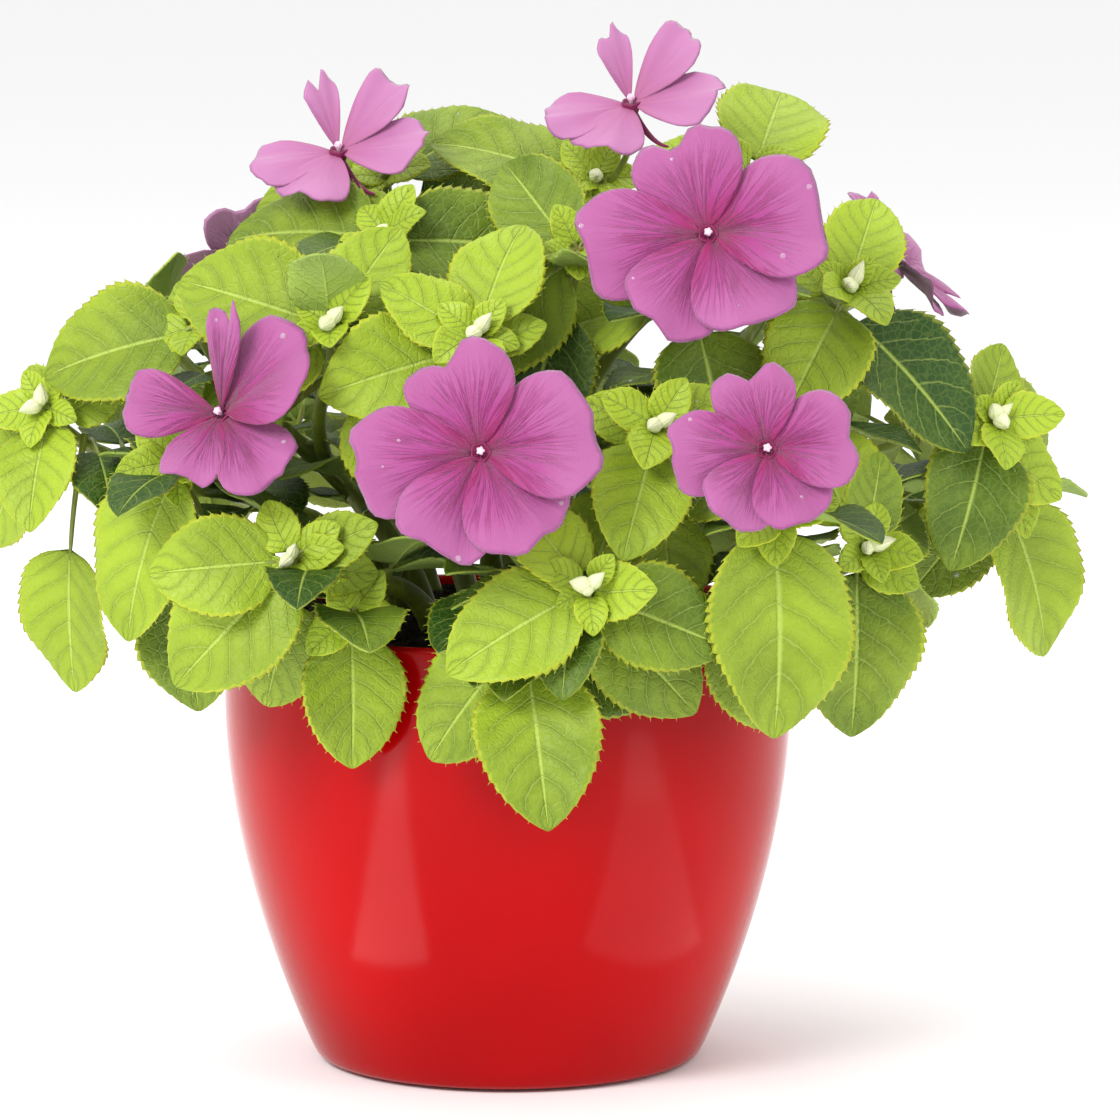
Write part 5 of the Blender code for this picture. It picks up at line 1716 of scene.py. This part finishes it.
class LIZZIE_OT_pot(bpy.types.Operator):
    """Turns the glazed pot with its rounded lip and foot"""
    bl_idname = "lizzie.pot"
    bl_label = "Glazed Pot"

    def execute(self, context):
        shape = bmesh.new()
        points = [shape.verts.new((r * MM, 0, z * MM)) for r, z in pot_profile()]
        for a, b in zip(points, points[1:]):
            shape.edges.new((a, b))
        mesh = bpy.data.meshes.new("glazed_pot")
        shape.to_mesh(mesh)
        shape.free()
        pot = bpy.data.objects.new("glazed_pot", mesh)
        context.scene.collection.objects.link(pot)
        screw = pot.modifiers.new("turn", "SCREW")
        screw.steps = settings().sizes.pot_sides
        screw.render_steps = screw.steps
        screw.use_merge_vertices = True
        screw.merge_threshold = 0.01 * MM
        context.view_layer.update()
        turned = bpy.data.meshes.new_from_object(pot.evaluated_get(context.evaluated_depsgraph_get()))
        pot.modifiers.clear()
        pot.data = turned
        turned.shade_smooth()
        turned.materials.clear()
        turned.materials.append(glaze(settings().colours))
        seated(pot, "pot", "pot")
        return {"FINISHED"}


def peat_ring(skin, radius, height_at):
    """A ring of points about the pot's axis that ends where it starts."""
    row = []
    for j in range(PEAT_SIDES):
        angle = math.tau * j / PEAT_SIDES
        x, y = radius * math.cos(angle), radius * math.sin(angle)
        row.append(skin.point(Vector((x, y, height_at(x, y)))))
    return row + row[:1]


def peat_height(x, y, rough):
    """The mound's height with its clods, which rough lets fade out at the pot's wall."""
    clods = sum(noise.noise(Vector((x, y, layer)) * scale) * height for layer, scale, height in PEAT_CLODS)
    return soil_height(x, y) + clods * rough


class LIZZIE_OT_peat(bpy.types.Operator):
    """Lays the lumpy peat and strews crumbs over it"""
    bl_idname = "lizzie.peat"
    bl_label = "Peat"

    def execute(self, context):
        material = peat_crumb(settings().colours)
        inner = POT_WALL + SOIL_GAP
        floor = POT_FLOOR + SOIL_GAP
        skin = Skin()
        grid = [[skin.point(Vector((0, 0, floor)))] * (PEAT_SIDES + 1)]
        wall = [(POT_FOOT_RADIUS - PEAT_FOOT_INSET, floor)]
        wall += [(pot_radius(z) - inner, z) for z in PEAT_WALL_HEIGHTS]
        grid += [peat_ring(skin, radius, lambda x, y: height) for radius, height in wall]
        edge = pot_radius(SOIL_EDGE_HEIGHT) - inner
        for i in range(PEAT_RINGS, 0, -1):
            rough = min(1, (PEAT_RINGS - i) / 2)
            grid.append(peat_ring(skin, edge * i / PEAT_RINGS, partial(peat_height, rough=rough)))
        grid.append([skin.point(Vector((0, 0, soil_height(0, 0))))] * (PEAT_SIDES + 1))
        uvs = [[(j / PEAT_SIDES, i / len(grid)) for j in range(PEAT_SIDES + 1)] for i in range(len(grid))]
        skin.quads(grid, uvs, (0, 0, 0))
        peat = skin.to_object("peat", material)
        seated(peat, "soil", "soil")
        top = bmesh.new()
        top.from_mesh(peat.data)
        low = [f for f in top.faces
               if f.normal.z < CRUMB_BED_SLOPE or f.calc_center_median().z < CRUMB_BED_LOWEST * MM]
        bmesh.ops.delete(top, geom=low, context="FACES")
        bed = bpy.data.meshes.new("crumb_bed")
        top.to_mesh(bed)
        top.free()
        sizes = settings().sizes
        crumbs = strewing_tree("crumbs", peat_lump).run("peat_crumbs", bed, {
            "Density": sizes.crumb_density, "Largest": sizes.crumb_largest,
            "Smallest": CRUMB_SMALLEST * MM, "Seed": CRUMB_SEED, "Material": material})
        seated(crumbs, "soil")
        return {"FINISHED"}


class LIZZIE_OT_stalks(bpy.types.Operator):
    """Draws each stem with its side shoot and all of its stalks"""
    bl_idname = "lizzie.stalks"
    bl_label = "Stems and Stalks"

    def execute(self, context):
        material = stem_skin(settings().colours)
        rods = rod_tree()
        for name in STEMS:
            mesh = line_mesh("stalk_lines_" + name, stalk_lines(name))
            stalks = rods.run("stalks_" + name, mesh,
                              {"Sides": settings().sizes.rod_sides, "Material": material})
            seated(stalks, "foliage", "stem_" + name)
        return {"FINISHED"}


class LIZZIE_OT_leaves(bpy.types.Operator):
    """Grows the toothed and quilted leaves of each stem"""
    bl_idname = "lizzie.leaves"
    bl_label = "Leaves"

    def execute(self, context):
        material = leaf_blade(settings().colours)
        for name in STEMS:
            skin = Skin()
            for plan in planting()[name]:
                grow_leaf(skin, plan)
            seated(skin.to_object("leaves_" + name, material), "foliage", "stem_" + name)
        return {"FINISHED"}


class LIZZIE_OT_bristles(bpy.types.Operator):
    """Sets a bristle on each leaf tooth"""
    bl_idname = "lizzie.bristles"
    bl_label = "Leaf Bristles"

    def execute(self, context):
        tips = [tip for plans in planting().values() for plan in plans for tip in tooth_tips(plan)]
        mesh = bpy.data.meshes.new("tooth_tips")
        mesh.from_pydata([tuple(place * MM) for place, _ in tips], [], [])
        aims = np.array([tuple(aim) for _, aim in tips], np.float32)
        mesh.attributes.new("aim", "FLOAT_VECTOR", "POINT").data.foreach_set("vector", aims.ravel())
        bristles = bristle_tree().run("leaf_bristles", mesh, {
            "Length": settings().sizes.bristle_length, "Girth": BRISTLE_GIRTH * MM,
            "Seed": BRISTLE_SEED, "Material": bristle_tip(settings().colours)})
        seated(bristles, "foliage")
        return {"FINISHED"}


class LIZZIE_OT_blooms(bpy.types.Operator):
    """Opens each bloom: five ruffled petals, the tube and the curved spur"""
    bl_idname = "lizzie.blooms"
    bl_label = "Blooms"

    def execute(self, context):
        colours = settings().colours
        face = petal_face(colours)
        tube = throat(colours)
        rods = rod_tree()
        for name, bloom in BLOOMS.items():
            petals = Skin()
            for i, petal in enumerate(bloom.petals):
                grow_petal(petals, name, i, bloom, petal)
            seated(petals.to_object("petals_" + name, face), "petal", "bloom_" + name)
            frame_of = BloomFrame(bloom)
            funnel = Skin()
            lathe(funnel, frame_of.centre, frame_of.facing, TUBE_PROFILE, TUBE_SIDES, TUBE_LOBE_DEPTH)
            seated(funnel.to_object("tube_" + name, tube), "petal", "bloom_" + name)
            line = tapered(spur_path(frame_of, bloom, FINE_SPUR_SHARES), SPUR_RADIUS * ROD_FLARE,
                           SPUR_RADIUS * 0.45, SPUR_TIP_ROUND)
            spur = rods.run("spur_" + name, line_mesh("spur_line_" + name, [line]),
                            {"Sides": SPUR_SIDES, "Material": tube})
            seated(spur, "petal", "bloom_" + name)
        return {"FINISHED"}


def wet_faces(piece):
    """The upper faces of a blade or petal near its edge, where drops gather."""
    mesh = piece.data
    side = mesh.color_attributes["traits"].data
    pattern = mesh.uv_layers["pattern"].data
    faces = []
    for face in mesh.polygons:
        first = face.loop_indices[0]
        upper = side[first].color[1] < 0.5
        if upper and pattern[first].uv[1] > WET_FROM and face.normal.z > WET_SLOPE:
            faces.append(tuple(face.vertices))
    wet = bpy.data.meshes.new("wet_faces")
    wet.from_pydata([v.co for v in mesh.vertices], [], faces)
    return wet


class LIZZIE_OT_drops(bpy.types.Operator):
    """Leaves a few drops of water on the petals and leaves"""
    bl_idname = "lizzie.drops"
    bl_label = "Water Drops"

    def execute(self, context):
        material = water_drop()
        strewing = strewing_tree("drops", water_bead)
        density = settings().sizes.drop_density
        for kind, names, slot, share in (("petals", BLOOMS, "petal", 1.0),
                                         ("leaves", STEMS, "foliage", LEAF_DROP_SHARE)):
            for i, name in enumerate(names):
                wet = wet_faces(bpy.data.objects[f"{kind}_{name}"])
                drops = strewing.run(f"drops_{kind}_{name}", wet, {
                    "Density": density * share, "Seed": DROP_SEED + i,
                    "Smallest": DROP_SMALLEST * MM, "Largest": DROP_LARGEST * MM, "Material": material})
                if drops.data.polygons:
                    seated(drops, slot)
                else:
                    bpy.data.objects.remove(drops)
        return {"FINISHED"}


class LIZZIE_OT_eyes(bpy.types.Operator):
    """Sets the pale eye, a head of joined stamens, in each bloom"""
    bl_idname = "lizzie.eyes"
    bl_label = "Eyes"

    def execute(self, context):
        material = stamen_head(settings().colours)
        for name, bloom in BLOOMS.items():
            frame_of = BloomFrame(bloom)
            skin = Skin()
            lathe(skin, frame_of.centre, frame_of.facing, EYE_PROFILE, EYE_SIDES, EYE_LOBE_DEPTH)
            seated(skin.to_object("stamens_" + name, material), "eye", "eye_" + name)
        return {"FINISHED"}


class LIZZIE_OT_buds(bpy.types.Operator):
    """Sets the clusters of pale pointed buds"""
    bl_idname = "lizzie.buds"
    bl_label = "Buds"

    def execute(self, context):
        material = bud_skin(settings().colours)
        for name, stem in STEMS.items():
            for i, shoot in enumerate(stem.shoots):
                if not shoot.buds:
                    continue
                skin = Skin()
                for centre, axis, radius in bud_places(name, shoot, i):
                    section = [(r * radius, h * radius * BUD_STRETCH) for r, h in BUD_PROFILE]
                    lathe(skin, centre, axis, section, BUD_SIDES, BUD_LOBE_DEPTH)
                seated(skin.to_object(f"bud_cluster_{name}_{i}", material), "bud", f"buds_{name}_{i}")
        return {"FINISHED"}


def soft_light(name, place, size, power):
    """A rectangular light that the camera doesn't see."""
    lamp = bpy.data.lights.new(name, "AREA")
    lamp.shape = "RECTANGLE"
    lamp.size, lamp.size_y = size
    lamp.energy = power
    light = bpy.data.objects.new(name, lamp)
    bpy.context.scene.collection.objects.link(light)
    light.location = place
    light.visible_camera = False
    return light


class LIZZIE_OT_stage(bpy.types.Operator):
    """Lays the pale floor and sets the soft lights and the camera"""
    bl_idname = "lizzie.stage"
    bl_label = "Studio"

    def execute(self, context):
        bpy.ops.mesh.primitive_plane_add(size=FLOOR_SIZE)
        floor = context.active_object
        floor.name = "studio_floor"
        floor.data.materials.append(studio_floor(settings().colours))
        target = Vector(CAMERA_TARGET)
        for name, place, size, power in STUDIO_LIGHTS:
            light = soft_light(name, place, size, power)
            light.rotation_euler = (target - Vector(place)).to_track_quat("-Z", "Y").to_euler()
        for name, bearing, distance, size, power in LOW_STRIPS:
            turn = math.radians(bearing)
            place = (math.sin(turn) * distance, -math.cos(turn) * distance, STRIP_HEIGHT)
            light = soft_light(name, place, size, power)
            light.rotation_euler = (math.pi, 0, turn)
        world = bpy.data.worlds.new("studio_air")
        world.use_nodes = True
        air = world.node_tree.nodes["Background"]
        air.inputs["Color"].default_value = (1.0, 1.0, 1.0, 1.0)
        air.inputs["Strength"].default_value = AIR_STRENGTH
        context.scene.world = world
        lens = bpy.data.cameras.new("camera")
        lens.sensor_width = CAMERA_SENSOR
        lens.lens = CAMERA_SENSOR * CAMERA_DISTANCE / CAMERA_FRAME_WIDTH
        camera = bpy.data.objects.new("camera", lens)
        context.scene.collection.objects.link(camera)
        rise = math.radians(CAMERA_RISE)
        camera.location = target + Vector((0, -math.cos(rise), math.sin(rise))) * CAMERA_DISTANCE
        camera.rotation_euler = (target - camera.location).to_track_quat("-Z", "Y").to_euler()
        context.scene.camera = camera
        context.scene.view_settings.view_transform = "Standard"
        return {"FINISHED"}


class LIZZIE_PT_panel(bpy.types.Panel):
    """Lists the pieces and their settings"""
    bl_idname = "LIZZIE_PT_panel"
    bl_label = "Busy Lizzie"
    bl_space_type = "VIEW_3D"
    bl_region_type = "UI"
    bl_category = "Busy Lizzie"

    def draw(self, context):
        for operator in OPERATORS:
            self.layout.operator(operator.bl_idname)
        for group in (settings().sizes, settings().colours):
            for key in group.__annotations__:
                self.layout.prop(group, key)


OPERATORS = (LIZZIE_OT_pot, LIZZIE_OT_peat, LIZZIE_OT_stalks, LIZZIE_OT_leaves, LIZZIE_OT_bristles,
             LIZZIE_OT_blooms, LIZZIE_OT_drops, LIZZIE_OT_eyes, LIZZIE_OT_buds, LIZZIE_OT_stage)
CLASSES = (PlantSizes, PlantColours, PlantSettings) + OPERATORS + (LIZZIE_PT_panel,)


def register():
    for made in CLASSES:
        bpy.utils.register_class(made)
    bpy.types.Scene.busy_lizzie = bpy.props.PointerProperty(type=PlantSettings)


def unregister():
    del bpy.types.Scene.busy_lizzie
    for made in reversed(CLASSES):
        bpy.utils.unregister_class(made)


def main():
    register()
    bpy.ops.lizzie.pot()
    bpy.ops.lizzie.peat()
    bpy.ops.lizzie.stalks()
    bpy.ops.lizzie.leaves()
    bpy.ops.lizzie.bristles()
    bpy.ops.lizzie.blooms()
    bpy.ops.lizzie.drops()
    bpy.ops.lizzie.eyes()
    bpy.ops.lizzie.buds()
    bpy.ops.lizzie.stage()
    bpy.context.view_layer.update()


if __name__ == "__main__":
    main()
